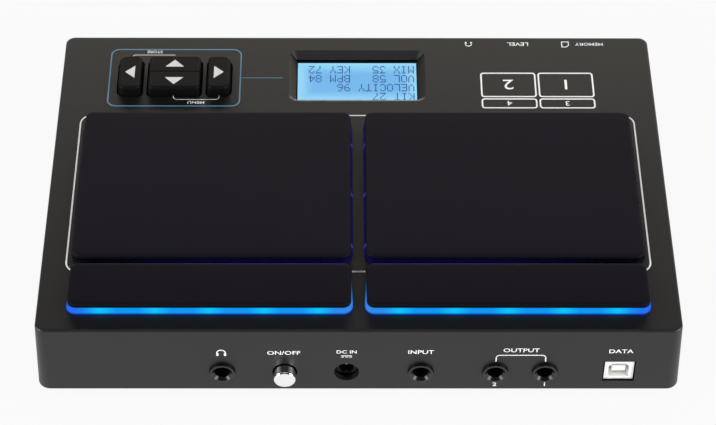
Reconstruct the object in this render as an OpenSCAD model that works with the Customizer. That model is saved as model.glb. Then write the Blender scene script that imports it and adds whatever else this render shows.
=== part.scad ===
// Sampling percussion pad: a table-top case with four sprung playing pads,
// lit skirts, a display, cursor keys, two volume dials and a row of rear sockets.
// Millimetres. +Z is up, the player sits at -Y and the sockets face +Y.

/* [Case] */
// Width of the top panel, left to right
case_w = 263; // [258:1:300]
// Depth of the top panel, front to rear
case_d = 175; // [168:1:200]
// Height of the case, from its bottom edge to the top panel
case_h = 35.2; // [34:0.1:46]
// How far the bottom edge stands out past the top edge on each side
wall_flare = 1.25; // [0.2:0.05:3]
// Thickness of the side walls
wall_t = 2.5; // [2:0.1:3]
// Thickness of the top panel
panel_t = 3; // [2.6:0.1:3.5]
// Corner radius of the case, seen from above
corner_r = 4; // [3.5:0.5:9]
// Radius of the rounded edge around the top panel
edge_r = 1.1; // [0.5:0.1:2.4]
// Thickness of the stiffening ribs
rib_t = 1.6; // [1:0.1:2]
// Thickness of the bottom plate
base_t = 2.2; // [2:0.1:3]
// Clearance between the bottom plate and the walls around it
base_clear = 0.35; // [0.2:0.05:0.8]

/* [Feet and fasteners] */
// Diameter of the rubber feet
foot_dia = 16; // [10:0.5:20]
// Height of the feet below the case
foot_h = 4; // [1.5:0.1:6]
// Depth of the seat that each foot is glued into
foot_seat = 0.8; // [0.4:0.1:1.2]
// Distance of the feet from the edges of the top panel
foot_inset = 21; // [19:0.5:30]
// Diameter of the screw shanks
screw_dia = 2.5; // [2:0.1:3]
// Length of the screw shanks
screw_l = 8; // [6:0.5:8.5]
// Diameter of the screw heads
screw_head_dia = 5.4; // [4.5:0.1:6]
// Height of the screw heads
screw_head_h = 1.8; // [1.2:0.1:2]
// Diameter of the case screw bosses
boss_dia = 7; // [6:0.1:8]
// Radial clearance of the screws in the pieces they hold down
hole_clear = 0.3; // [0.1:0.05:0.5]
// Width of the stand plate's hole pattern, left to right
stand_w = 75; // [60:1:100]
// Depth of the stand plate's hole pattern, front to rear
stand_d = 50; // [40:1:60]
// Tapping diameter of the threaded inserts
insert_bore = 4.2; // [3.3:0.1:5]
// Outer diameter of the threaded inserts
insert_dia = 7; // [6.2:0.1:8]
// Length of the threaded inserts
insert_l = 8; // [5:0.5:10]

/* [Pads] */
// Distance from the side edges of the top panel to the pads
pad_side_margin = 12.9; // [8:0.1:20]
// Distance from the rear edge of the top panel to the rear pads
pad_rear_margin = 9.6; // [8:0.1:14]
// Gap between the left and right pads
pad_centre_gap = 6.3; // [6:0.1:9]
// Gap between the front and rear pads
pad_row_gap = 3.6; // [3:0.1:7]
// Depth of the narrow rear pads
rear_pad_d = 23.2; // [22:0.1:32]
// Depth of the strip with the display and keys, in front of the pads
control_d = 53.2; // [51:0.1:58]
// Corner radius of the pads, seen from above
pad_r = 3.5; // [3.2:0.1:5]
// Thickness of the rubber lip around each pad
lip_t = 2.2; // [0.8:0.1:2.6]
// Radius of the rounded top edge of the rubber
lip_edge_r = 1.1; // [0.3:0.05:1.4]
// Open height between the lip and the light guide below it
lip_gap = 0.5; // [0.45:0.05:1]
// Thickness of the rubber cover above its backing plate
cover_t = 2; // [1.8:0.1:2.4]
// Thickness of the backing plates
plate_t = 1.5; // [1:0.1:2]
// Width of each foam strip under the plates
foam_w = 30; // [15:1:35]
// Clearance between a pad and the light guide around it
pad_clear = 0.5; // [0.3:0.05:0.7]
// Diameter of the sensor discs under the front pads
front_sensor_dia = 27; // [20:1:35]
// Diameter of the sensor discs under the rear pads
rear_sensor_dia = 15; // [10:1:16]
// Thickness of the sensor discs
sensor_t = 0.5; // [0.3:0.1:0.6]
// Diameter of the lead hole below each sensor
lead_hole_dia = 6; // [3:0.5:8]

/* [Light guides] */
// Height of the light guides above the top panel
guide_h = 2.4; // [2:0.1:5]
// Width of the top of the light guides
guide_w = 2; // [1.6:0.1:2.4]
// How far the foot of a light guide stands out past its top
guide_flare = 0.8; // [0.4:0.1:1.4]
// Corner radius of the foot of a front pad's light guide
guide_foot_r = 7; // [5:0.5:9]
// Length of the lit arms along the ends of the rear pads
guide_arm = 16; // [10:0.5:18]
// Joint gap between a lit arm and the kerb it meets
guide_joint = 0.3; // [0.1:0.05:0.6]
// Distance of the innermost rear lamp from the centre line
rear_led_first = 16.5; // [12:0.5:20]
// Spacing of the lamps along the rear guides
rear_led_pitch = 22.2; // [18:0.1:23]
// Spacing of the lamps along the centre sides of the front pads
front_led_pitch = 29.4; // [20:0.1:32]
// Distance of the middle front lamp behind the middle of its pad
front_led_shift = 4.3; // [-8:0.1:6]
// Length of a lamp
led_l = 3.2; // [2:0.1:4]
// Width of a lamp
led_w = 1.6; // [1:0.1:2]
// Height of a lamp
led_h = 1.2; // [0.6:0.1:1.4]
// Clearance around a lamp in its window
window_clear = 0.3; // [0.1:0.05:0.5]
// Thickness of the lamp boards
led_board_t = 1; // [0.8:0.1:1.6]
// Height of the seats that carry the lamp boards
led_seat_h = 1.6; // [1.5:0.1:2.5]

/* [Display and keys] */
// Distance from the front edge of the panel to the middle of the display
display_from_front = 25.3; // [24:0.1:27]
// Width of the display recess at the panel
recess_w = 61; // [58:0.1:64]
// Depth of the display recess at the panel, front to rear
recess_d = 33; // [31:0.1:35]
// Corner radius of the display recess at the panel
recess_r = 4; // [3.5:0.1:6]
// Width of the recess's bevel, seen from above
bevel_w = 3.3; // [1.5:0.1:3.6]
// Height of the recess's bevel
bevel_h = 2.4; // [1.2:0.1:2.4]
// Thickness of the clear display window
lens_t = 1.5; // [1:0.1:2]
// Width of the glued edge of the display window
lens_lap = 2.5; // [1.5:0.1:3]
// Width of the lit area of the display
screen_w = 53.2; // [50:0.1:54]
// Depth of the lit area of the display
screen_d = 24.9; // [23:0.1:26]
// Thickness of the metal frame of the display
lcd_sheet = 0.4; // [0.3:0.1:0.6]
// Distance from the right edge of the panel to the middle of the key block
keys_from_side = 50.3; // [46:0.1:56]
// Distance from the front edge of the panel to the middle of the key block
keys_from_front = 27.7; // [24:0.1:30]
// Width of the left and right keys
key_side_w = 11; // [9:0.1:12]
// Width of the up and down keys
key_mid_w = 24; // [20:0.1:26]
// Depth of the key block, front to rear
keys_d = 22.3; // [19:0.1:24]
// Gap between the side keys and the middle ones
key_gap = 2.2; // [2.2:0.1:4]
// Gap between the up and down keys
key_split = 0.5; // [0.4:0.05:1]
// Height of the keys above the panel
key_proud = 4.8; // [3:0.1:6]
// How much a key narrows on each side towards its top
key_draft = 0.6; // [0.2:0.05:1]
// Corner radius of the keys at their top
key_r = 2; // [1.6:0.1:3]
// Corner radius on the outer side of the left and right keys
key_outer_r = 3.2; // [2:0.1:4]
// Radius of the rounded top edge of the keys
key_edge_r = 1.3; // [0.3:0.05:1.4]
// Wall of the hollow keys
key_wall = 1.4; // [1:0.1:1.8]
// Thickness of the top of the hollow keys
key_top_t = 1.8; // [1.5:0.1:2.5]
// Diameter of the stem inside a key
key_stem_dia = 4; // [3:0.1:4.5]
// Clearance between the keys and the panel
key_clear = 0.35; // [0.2:0.05:0.45]
// How far the retaining flange stands out around a key
key_flange_w = 0.9; // [0.7:0.05:1]
// Thickness of the retaining flange
key_flange_t = 1.2; // [0.8:0.1:1.6]
// Free height above the flange
key_float = 0.3; // [0.1:0.05:0.4]
// Side of a push switch under a key
switch_w = 6; // [4.5:0.1:6.5]
// Height of a push switch
switch_h = 3.5; // [2.5:0.1:4]
// Diameter of a push switch's plunger
plunger_dia = 3.4; // [2:0.1:3.6]
// Height of the plunger above its switch
plunger_out = 1; // [0.7:0.05:1.4]
// Length of the plunger inside its switch
plunger_in = 1.4; // [0.8:0.1:1.6]

/* [Dials and card slot] */
// Distance of the phones dial from the left edge of the panel
phones_dial_x = 81.1; // [75:0.1:85]
// Distance of the main dial from the left edge of the panel
main_dial_x = 58.5; // [53:0.1:61]
// Diameter of the dials
dial_dia = 13; // [10:0.1:15]
// Length of the dials
dial_l = 9; // [8:0.1:14]
// Gap between a dial and the front wall
dial_gap = 1; // [0.8:0.1:2]
// Number of grip grooves around a dial
dial_grooves = 18; // [12:1:24]
// Diameter of the dial shafts
shaft_dia = 6; // [4:0.1:6]
// Radial running clearance of the shafts
shaft_clear = 0.05; // [0.02:0.01:0.1]
// Wall of the bushings that carry the shafts
bushing_wall = 0.6; // [0.5:0.1:1]
// Side of a volume control's housing
pot_w = 9.8; // [8.5:0.1:11]
// Depth of a volume control's housing
pot_d = 7; // [5:0.1:9]
// Distance of a shaft below the control board
pot_drop = 6.5; // [5.5:0.1:7]
// Distance of the card slot from the left edge of the panel
card_x = 32.3; // [29:0.1:36]
// Width of the card slot
card_w = 24.6; // [24.4:0.1:25]
// Height of the card slot
card_h = 2.5; // [2.3:0.1:2.8]
// Thickness of the card socket above and below the card
card_wall = 0.45; // [0.3:0.05:0.8]
// Thickness of the card socket at the sides of the card
card_rail = 1.2; // [0.8:0.1:1.6]
// Depth of the card socket
card_socket_d = 27; // [20:0.5:29]
// Clearance around the card slot's mouth in the front wall
card_mouth = 0.7; // [0.3:0.05:1]

/* [Rear sockets] */
// Height of the sockets' centre line above the case's bottom edge
socket_h = 10.3; // [10:0.1:13]
// Distance of the phones socket right of the middle
phones_x = 56.1; // [52:0.1:58]
// Distance of the power button right of the middle
power_x = 30.4; // [27:0.1:33]
// Distance of the power inlet right of the middle
inlet_x = 5; // [0:0.1:8]
// Distance of the trigger socket left of the middle
trigger_x = 25.5; // [22:0.1:30]
// Distance of the right output socket from the left edge of the panel
out_right_x = 75.3; // [74:0.1:77]
// Distance of the left output socket from the left edge of the panel
out_left_x = 54.9; // [52:0.1:56]
// Distance of the data socket from the left edge of the panel
data_x = 24.4; // [23:0.1:28]
// Bore of the jack sockets
jack_bore = 6.5; // [6.4:0.05:6.8]
// Outer diameter of the jack noses
jack_nose_dia = 10.4; // [9.5:0.1:11]
// How far the jack noses stand out of the wall
jack_out = 1.2; // [0.6:0.1:3]
// Width of the bevel in a jack's mouth
jack_bevel = 1.1; // [0.5:0.1:1.3]
// Width of a jack's housing
jack_w = 16; // [13:0.1:18]
// Height of a jack's housing
jack_h = 12; // [11.6:0.1:13]
// Depth of a jack's housing
jack_d = 29; // [27:0.1:31]
// Thickness of the closed back of a jack
jack_back_t = 1.5; // [1:0.1:2]
// Radial clearance of the noses and bushings in the walls
nose_clear = 0.2; // [0.1:0.05:0.4]
// Gap between a wall and the housings behind it
housing_gap = 0.4; // [0.2:0.05:0.8]
// Diameter of the power button
button_dia = 9; // [7:0.1:9.4]
// How far the power button stands out of the wall
button_out = 4.6; // [4:0.1:6]
// Length of the power button inside the wall
button_in = 2; // [1.5:0.1:3]
// Radial clearance around the power button
button_clear = 0.6; // [0.3:0.05:1]
// Travel of the power button
button_travel = 3; // [2:0.1:3.4]
// Side of the power switch's square plunger
power_stem = 3.2; // [2.5:0.1:4]
// Side of the power switch's housing
power_switch_w = 10; // [8:0.1:11]
// Depth of the power switch's housing
power_switch_d = 13; // [11:0.1:15]
// Diameter of the power inlet's hole in the wall
inlet_hole_dia = 10.3; // [8:0.1:11]
// Bore of the power inlet
inlet_bore = 6.2; // [6:0.05:6.5]
// Depth of the power inlet's bore
inlet_depth = 10; // [9:0.1:11]
// Diameter of the power inlet's centre pin
inlet_pin_dia = 2; // [1.6:0.1:2.5]
// Depth of the power inlet's face behind the wall's outer face
inlet_recess = 3; // [2.6:0.1:4]
// Side of the power inlet's housing
inlet_w = 9; // [8.5:0.1:11]
// Depth of the power inlet's housing
inlet_d = 13; // [12:0.1:15]
// Width of the data socket's metal shell
data_w = 12; // [11.8:0.05:12.2]
// Height of the data socket's metal shell
data_h = 10.9; // [10.6:0.05:11.2]
// Depth of the data socket
data_d = 16; // [14:0.5:18]
// Thickness of the data socket's metal shell
data_sheet = 0.4; // [0.3:0.05:0.6]
// Width of the data plug's hollow
plug_w = 8.6; // [8.4:0.05:8.8]
// Height of the data plug's hollow
plug_h = 7.9; // [7.7:0.05:8.1]
// Size of the bevels on the data plug's upper corners
plug_bevel = 1.7; // [1:0.1:2]
// Clearance around the data socket in the wall
data_clear = 0.6; // [0.3:0.05:1]

/* [Boards] */
// Thickness of the circuit boards
board_t = 1.6; // [1.2:0.1:2]
// Depth of the main board, front to rear
main_board_d = 46; // [40:1:50]
// Diameter of the bosses that carry the boards
board_boss_dia = 6; // [5:0.1:6.5]
// Width of the ribbon cable
ribbon_w = 16; // [8:1:24]
// Thickness of the ribbon cable
ribbon_t = 0.8; // [0.5:0.1:1]
// How far the ribbon cable sags
ribbon_sag = 5; // [2:0.5:8]

/* [Hidden] */
$fn = 64;
// Smoothness of the corners of leaning forms
corner_fn = 32;
// Overlap that lets a cut run clean through a face
eps = 0.1;
// Radial clearance of pieces that are pushed into each other
fit_clear = 0.05;

// Heights
case_z = foot_h;
panel_z = case_z + case_h;
ceiling_z = panel_z - panel_t;
base_top_z = case_z + base_t;
socket_z = case_z + socket_h;
main_board_z = socket_z + jack_h / 2;
main_board_top_z = main_board_z + board_t;
key_z = ceiling_z - key_float - key_flange_t;
control_board_top_z = key_z - plunger_out - switch_h;
control_board_z = control_board_top_z - board_t;
dial_z = control_board_z - pot_drop;
card_socket_h = card_h + 2 * card_wall;
card_z = control_board_z - card_socket_h / 2;
led_board_top_z = ceiling_z - led_seat_h;

// Walls lean out towards the bottom: how far a wall stands out at a height
function wall_out(z) = wall_flare * (panel_z - z) / case_h;
function front_y(z) = -case_d / 2 - wall_out(z);
function rear_y(z) = case_d / 2 + wall_out(z);

// Place of what is set out from the left edge of the panel
function from_left(distance) = distance - case_w / 2;

// The origin lies under the middle of the whole object, dials and button included
front_reach = dial_gap + dial_l - front_y(dial_z);
rear_reach = rear_y(socket_z) + button_out;
centre_y = (front_reach - rear_reach) / 2;

// Pads, from below: foam strips, backing plate, rubber cover whose lip hangs over the light guide
pad_w = case_w / 2 - pad_side_margin - pad_centre_gap / 2;
pad_x = pad_centre_gap / 2 + pad_w / 2;
front_pad_d = case_d - control_d - pad_row_gap - rear_pad_d - pad_rear_margin;
front_pad_y = -case_d / 2 + control_d + front_pad_d / 2;
rear_pad_y = case_d / 2 - pad_rear_margin - rear_pad_d / 2;
guide_top_z = panel_z + guide_h;
lip_z = guide_top_z + lip_gap;
pad_top_z = lip_z + lip_t;
plate_top_z = pad_top_z - cover_t;
plate_z = plate_top_z - plate_t;
plate_inset = guide_w + pad_clear;
plate_w = pad_w - 2 * plate_inset;
plate_r = pad_r - plate_inset;
foam_inset = 1;
ceramic_share = 0.7;
PADS = ["front_left", "front_right", "rear_left", "rear_right"];
function is_rear(pad) = pad == "rear_left" || pad == "rear_right";
function pad_side(pad) = pad == "front_left" || pad == "rear_left" ? -1 : 1;
function pad_d(pad) = is_rear(pad) ? rear_pad_d : front_pad_d;
function plate_d(pad) = pad_d(pad) - 2 * plate_inset;
function pad_pos(pad) = [pad_side(pad) * pad_x, is_rear(pad) ? rear_pad_y : front_pad_y, 0];
function sensor_dia(pad) = is_rear(pad) ? rear_sensor_dia : front_sensor_dia;

// Lamps: a row under each rear guide and a row under the centre side of each front guide
rear_led_count = 5;
front_led_count = 3;
guide_mid = (guide_w - guide_flare) / 2;
guide_edge = 0.3;
rear_led_y = rear_pad_y + rear_pad_d / 2 - guide_mid;
front_led_x = pad_centre_gap / 2 + guide_mid;
rear_led_xs = [for (i = [0 : rear_led_count - 1]) rear_led_first + i * rear_led_pitch];
front_led_ys = [for (i = [0 : front_led_count - 1])
    front_pad_y + front_led_shift + (i - (front_led_count - 1) / 2) * front_led_pitch];
REAR_LEDS = [for (s = [-1, 1], x = rear_led_xs) [s * x, rear_led_y, 0]];
FRONT_LEDS = [for (s = [-1, 1], y = front_led_ys) [s * front_led_x, y, 0]];

// Lamp boards: round seats carry them, and stakes through them hold them between the lamps
led_board_edge = 3;
stake_dia = 2;
stake_seat_dia = 4;
stake_out = 1;
rear_led_board_w = 2 * (rear_led_xs[rear_led_count - 1] + led_l / 2 + led_board_edge);
rear_led_board_d = led_w + 2 * led_board_edge;
front_led_board_w = 2 * (front_led_x + led_w / 2 + led_board_edge);
front_led_board_d = (front_led_count - 1) * front_led_pitch + led_l + 2 * led_board_edge;
front_led_board_y = front_pad_y + front_led_shift;
STAKES = concat(
    [for (s = [-1, 1], i = [0, rear_led_count - 2]) [s * (rear_led_xs[i] + rear_led_pitch / 2), rear_led_y]],
    [for (s = [-1, 1]) [0, front_led_board_y + s * front_led_pitch / 2]]);

// Display, from above: window glued under the panel, metal frame, glass and backlight
display_pos = [0, display_from_front - case_d / 2, 0];
opening_w = recess_w - 2 * bevel_w;
opening_d = recess_d - 2 * bevel_w;
opening_r = recess_r - bevel_w;
lens_w = opening_w + 2 * lens_lap;
lens_d = opening_d + 2 * lens_lap;
lcd_gap = 0.1;
lcd_margin = 1;
lcd_w = lens_w + 2 * lcd_margin;
lcd_d = lens_d + 2 * lcd_margin;
lcd_top_z = ceiling_z - lens_t - lcd_gap;

// Keys: the player's left is -X
keys_pos = [case_w / 2 - keys_from_side, keys_from_front - case_d / 2, 0];
key_side_x = key_mid_w / 2 + key_gap + key_side_w / 2;
key_mid_d = (keys_d - key_split) / 2;
key_mid_y = (key_mid_d + key_split) / 2;
key_top_z = panel_z + key_proud;
plunger_clear = 0.1;
switch_base_t = 0.8;
KEYS = ["left", "right", "up", "down"];
function is_mid(key) = key == "up" || key == "down";
function key_w(key) = is_mid(key) ? key_mid_w : key_side_w;
function key_d(key) = is_mid(key) ? key_mid_d : keys_d;
function key_sign(key) = key == "left" || key == "down" ? -1 : 1;
function key_shift(key) = is_mid(key) ? [0, key_mid_y, 0] : [key_side_x, 0, 0];
function key_pos(key) = keys_pos + key_sign(key) * key_shift(key);

// Case screws: corners, side walls and two in the open middle of the case
boss_gap = 2.5;
case_boss_x = case_w / 2 - wall_t - boss_gap - boss_dia / 2;
case_boss_y = case_d / 2 - wall_t - boss_gap - boss_dia / 2;
mid_boss_x = 30;
mid_boss_y = -6;
CASE_SCREWS = concat(
    [for (sx = [-1, 1], sy = [-1, 0, 1]) [sx * case_boss_x, sy * case_boss_y, base_top_z]],
    [for (sx = [-1, 1]) [sx * mid_boss_x, mid_boss_y, base_top_z]]);
screw_seat_h = 2;
screw_seat_wall = 1.2;
case_boss_z = base_top_z + screw_seat_h;
pilot_clear = 0.05;
pilot_spare = 0.5;

// Feet and threaded inserts
FEET = [for (sx = [-1, 1], sy = [-1, 1]) [sx * (case_w / 2 - foot_inset), sy * (case_d / 2 - foot_inset), 0]];
INSERTS = [for (sx = [-1, 1], sy = [-1, 1]) [sx * stand_w / 2, sy * stand_d / 2, 0]];
foot_taper = 0.8;
foot_edge = 0.6;
insert_wall = 2;
base_w = case_w + 2 * (wall_flare - wall_t - base_clear);
base_d = case_d + 2 * (wall_flare - wall_t - base_clear);
base_r = corner_r - wall_t + wall_flare - base_clear;
base_rib_h = 2;

// Circuit boards and the screws that hold them, seen from below
board_side_gap = 11;
board_front_gap = 2.6;
board_rear_gap = 1;
board_edge = 6;
main_board_x0 = -case_w / 2 + wall_t + board_side_gap;
main_board_x1 = phones_x + jack_w / 2 + board_edge;
main_board_y1 = rear_y(socket_z) - wall_t - housing_gap - board_rear_gap;
main_board_y0 = main_board_y1 - main_board_d;
main_screw_y = main_board_y1 - jack_d + board_edge;
MAIN_SCREWS = [
    [(phones_x + power_x) / 2, main_screw_y, main_board_z],
    [from_left((out_left_x + data_x) / 2), main_screw_y, main_board_z],
    [main_board_x1 - board_edge, main_board_y0 + board_edge, main_board_z],
    [main_board_x0 + board_edge, main_board_y0 + board_edge, main_board_z]];
control_board_x0 = main_board_x0;
boss_margin = 1;
keys_end_x = keys_pos[0] + key_side_x + key_side_w / 2 + key_flange_w;
control_board_x1 = keys_end_x + board_boss_dia + 2 * boss_margin;
control_board_y0 = -case_d / 2 + wall_t + board_front_gap;
control_board_gap = 9;
control_board_y1 = control_d - case_d / 2 - control_board_gap;
control_screw_y = control_board_y1 - board_edge;
control_screw_xs = [
    control_board_x0 + board_edge,
    -lcd_w / 2 - board_edge,
    lcd_w / 2 + board_edge,
    control_board_x1 - board_boss_dia / 2 - boss_margin];
CONTROL_SCREWS = [for (x = control_screw_xs) [x, control_screw_y, control_board_z]];

// Stiffening ribs inside the case
side_rib_d = 3;
side_rib_ys = [-45, -22, 22, 45];
cross_rib_gap = 5;
cross_rib_y = control_d - case_d / 2 - cross_rib_gap;
cross_rib_h = 5;
cross_rib_end = 15;
cross_rib_w = case_w - 2 * (wall_t + cross_rib_end);

// Rear sockets, along X
JACKS = [phones_x, -trigger_x, from_left(out_right_x), from_left(out_left_x)];
rear_wall_y = rear_y(socket_z);
housing_y = rear_wall_y - wall_t - housing_gap;
inlet_y = rear_wall_y - inlet_recess;
inlet_pin_recess = 1.5;
data_z = main_board_z - data_h / 2;
data_recess = 0.5;
data_y = rear_wall_y - data_recess;
data_core_recess = 0.3;
plug_depth = 9.5;
tongue_w = 5.6;
tongue_h = 3.2;
tongue_l = 8.5;
tongue_root = 1;
button_y = rear_wall_y + button_out;
button_l = button_out + wall_t + button_in;
button_edge = 0.8;
travel_spare = 1;
power_switch_y = button_y - button_l - button_travel - travel_spare;
stem_in = 4;
stem_clear = 0.15;

// Dials, along X and Y
DIALS = [from_left(phones_dial_x), from_left(main_dial_x)];
front_wall_y = front_y(dial_z);
pot_y = front_wall_y + wall_t + housing_gap;
bushing_dia = shaft_dia + 2 * (shaft_clear + bushing_wall);
bushing_out = 0.5;
dial_y = front_wall_y - dial_gap;
dial_cap = 2;
dial_edge = 1;
shaft_grip = dial_l - dial_cap;
shaft_end_gap = 0.5;
pot_back_t = 1;
bushing_root = 1;
groove_dia = 1.2;
groove_start = 2;
pointer_depth = 0.6;
card_y = front_y(card_z) + wall_t + housing_gap;
card_back_t = 1.5;

// Main components: a processor, a memory chip and a row of capacitors
processor_w = 14;
processor_h = 1.4;
processor_x = -40;
memory_w = 11;
memory_d = 8;
memory_h = 1.1;
memory_x = -64;
capacitor_dia = 6.3;
capacitor_h = 7;
capacitor_pitch = 9;
capacitor_count = 3;
capacitor_x = 12;

// Ribbon cable between two board sockets
ribbon_socket_edge = 2;
ribbon_socket_w = ribbon_w + 2 * ribbon_socket_edge;
ribbon_socket_d = 5;
ribbon_socket_h = 4;
ribbon_x = -8;
ribbon_y0 = control_board_y1 - ribbon_socket_edge;
ribbon_z0 = control_board_z - ribbon_socket_h / 2;
ribbon_y1 = main_board_y0 + ribbon_socket_edge;
ribbon_z1 = main_board_top_z + ribbon_socket_h / 2;
ribbon_steps = 24;

// Shared shapes

// A rectangle with round corners, centred
module round_rect(w, d, r) {
    square([w - 2 * r, d], center = true);
    square([w, d - 2 * r], center = true);
    for (sx = [-1, 1], sy = [-1, 1])
        translate([sx * (w / 2 - r), sy * (d / 2 - r)]) circle(r);
}

// A flat piece with upright, round-cornered sides, from z0 to z1
module slab(w, d, r, z0, z1) translate([0, 0, z0]) linear_extrude(z1 - z0) round_rect(w, d, r);

// A box centred in X and Y, from z0 to z1
module block(w, d, z0, z1) translate([-w / 2, -d / 2, z0]) cube([w, d, z1 - z0]);

// A box centred in X, from y0 to y1 and z0 to z1
module housing(w, y0, y1, z0, z1) translate([-w / 2, y0, z0]) cube([w, y1 - y0, z1 - z0]);

// An upright round bar, from z0 to z1
module post(dia, z0, z1) translate([0, 0, z0]) cylinder(d = dia, h = z1 - z0);

// A round bar along Y, from y0 to y1
module bar(dia, y0, y1) translate([0, y0, 0]) rotate([-90, 0, 0]) cylinder(d = dia, h = y1 - y0);

// Half section of a corner: it leans in by flare over its height and ends in a rounded edge
module corner_section(r, h, flare, edge) {
    arc = [for (a = [0 : 15 : 90]) [r - edge + edge * cos(a), h - edge + edge * sin(a)]];
    polygon(concat([[0, 0], [r + flare, 0]], arc, [[0, h]]));
}

// A block whose walls lean in by flare and end in a rounded edge; w and d are taken at the top
module leaning_block(w, d, r, z0, z1, flare, edge) {
    hull() for (sx = [-1, 1], sy = [-1, 1])
        translate([sx * (w / 2 - r), sy * (d / 2 - r), z0])
            rotate_extrude($fn = corner_fn) corner_section(r, z1 - z0, flare, edge);
}

// A block whose walls lean evenly to a sharp top edge; w and d are taken at the top
module tapered_block(w, d, r, z0, z1, flare) {
    hull() for (sx = [-1, 1], sy = [-1, 1])
        translate([sx * (w / 2 - r), sy * (d / 2 - r), z0])
            cylinder(r1 = r + flare, r2 = r, h = z1 - z0, $fn = corner_fn);
}

// Moves the finished pieces so that the origin lies under the middle of the object
module placed() translate([0, centre_y, 0]) children();

// Case

module top_shell() color("#333234") difference() {
    union() {
        difference() {
            leaning_block(case_w, case_d, corner_r, case_z, panel_z, wall_flare, edge_r);
            case_room();
        }
        for (pad = PADS) if (is_rear(pad)) translate(pad_pos(pad)) pad_kerb();
    }
    display_cut();
    key_cuts();
    for (p = REAR_LEDS) translate(p) window_cut(led_l, led_w);
    for (p = FRONT_LEDS) translate(p) window_cut(led_w, led_l);
    for (pad = PADS) translate(pad_pos(pad)) post(lead_hole_dia, ceiling_z - eps, panel_z + eps);
    rear_wall_cuts();
    front_wall_cuts();
    for (p = CASE_SCREWS) translate(p) pilot_cut(screw_seat_h);
    for (p = concat(MAIN_SCREWS, CONTROL_SCREWS)) translate(p) pilot_cut(board_t);
}

// Room inside the case, less the ribs, bosses and seats that stand in it
module case_room() difference() {
    tapered_block(case_w - 2 * wall_t, case_d - 2 * wall_t, corner_r - wall_t,
        case_z - eps, ceiling_z, wall_flare * (ceiling_z - case_z) / case_h);
    for (s = [-1, 1], y = side_rib_ys)
        translate([s * (case_w / 2 - wall_t), y, 0])
            block(2 * side_rib_d, rib_t, case_boss_z, panel_z);
    translate([0, cross_rib_y, 0]) block(cross_rib_w, rib_t, ceiling_z - cross_rib_h, panel_z);
    for (p = CASE_SCREWS) translate([p[0], p[1], 0]) post(boss_dia, case_boss_z, panel_z);
    for (p = MAIN_SCREWS) translate([p[0], p[1], 0]) post(board_boss_dia, main_board_top_z, panel_z);
    for (p = CONTROL_SCREWS) translate([p[0], p[1], 0]) post(board_boss_dia, control_board_top_z, panel_z);
    for (p = STAKES) translate(p) {
        post(stake_seat_dia, led_board_top_z, panel_z);
        post(stake_dia, led_board_top_z - led_board_t - stake_out, panel_z);
    }
}

// Hole for the tip of a screw whose head is at z = 0 and that first passes a thickness
module pilot_cut(passed) post(screw_dia + 2 * pilot_clear, passed - eps, screw_l + pilot_spare);

// Low wall around the front of a rear pad, where its light guide ends
module pad_kerb() difference() {
    slab(pad_w, rear_pad_d, pad_r, ceiling_z + panel_t / 2, guide_top_z);
    slab(pad_w - 2 * guide_w, rear_pad_d - 2 * guide_w, pad_r - guide_w, ceiling_z, guide_top_z + eps);
    translate([0, rear_pad_d - guide_arm - guide_joint, 0])
        block(pad_w + 2 * eps, rear_pad_d, ceiling_z, guide_top_z + eps);
}

// Bevelled recess and opening over the display
module display_cut() translate(display_pos) {
    tapered_block(recess_w, recess_d, recess_r, panel_z - bevel_h, panel_z + eps, -bevel_w);
    slab(opening_w, opening_d, opening_r, ceiling_z - eps, panel_z - bevel_h + eps);
}

module key_cuts() {
    for (side = [-1, 1]) translate(keys_pos + [side * key_side_x, 0, 0]) side_key_cut(side);
    translate(keys_pos)
        slab(key_mid_w + 2 * key_clear, keys_d + 2 * key_clear, key_r + key_clear,
            ceiling_z - eps, panel_z + eps);
}

// Opening for a side key, rounder on its outer side
module side_key_cut(side) hull() for (sx = [-1, 1], sy = [-1, 1]) {
    r = (sx == side ? key_outer_r : key_r) + key_clear;
    translate([sx * (key_side_w / 2 + key_clear - r), sy * (keys_d / 2 + key_clear - r), 0])
        post(2 * r, ceiling_z - eps, panel_z + eps);
}

// Window in the panel above a lamp
module window_cut(w, d) block(w + 2 * window_clear, d + 2 * window_clear, ceiling_z - eps, panel_z + eps);

module rear_wall_cuts() {
    y0 = rear_wall_y - 2 * wall_t;
    y1 = rear_wall_y + 2 * wall_t;
    for (x = JACKS) translate([x, 0, socket_z]) bar(jack_nose_dia + 2 * nose_clear, y0, y1);
    translate([power_x, 0, socket_z]) bar(button_dia + 2 * button_clear, y0, y1);
    translate([inlet_x, 0, socket_z]) bar(inlet_hole_dia, y0, y1);
    translate([from_left(data_x), 0, data_z])
        housing(data_w + 2 * data_clear, y0, y1, -data_h / 2 - data_clear, data_h / 2 + data_clear);
}

module front_wall_cuts() {
    y0 = front_wall_y - 2 * wall_t;
    y1 = front_wall_y + 2 * wall_t;
    mouth_h = card_h / 2 + card_mouth;
    for (x = DIALS) translate([x, 0, dial_z]) bar(bushing_dia + 2 * nose_clear, y0, y1);
    translate([from_left(card_x), 0, card_z]) housing(card_w + 2 * card_mouth, y0, y1, -mouth_h, mouth_h);
}

module bottom_plate() color("#2c2c2e") difference() {
    union() {
        slab(base_w, base_d, base_r, case_z, base_top_z);
        for (p = CASE_SCREWS) translate([p[0], p[1], 0])
            post(screw_head_dia + 2 * (hole_clear + screw_seat_wall), case_z, case_boss_z);
        for (p = INSERTS) translate(p) post(insert_dia + 2 * insert_wall, case_z, case_z + insert_l);
        base_ribs();
    }
    for (p = CASE_SCREWS) translate([p[0], p[1], 0]) {
        post(screw_head_dia + 2 * hole_clear, case_z - eps, base_top_z);
        post(screw_dia + 2 * hole_clear, base_top_z - eps, case_boss_z + eps);
    }
    for (p = INSERTS) translate(p) post(insert_dia + 2 * fit_clear, case_z - eps, case_z + insert_l + eps);
    for (p = FEET) translate(p) post(foot_dia + 2 * fit_clear, case_z - eps, case_z + foot_seat);
}

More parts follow.
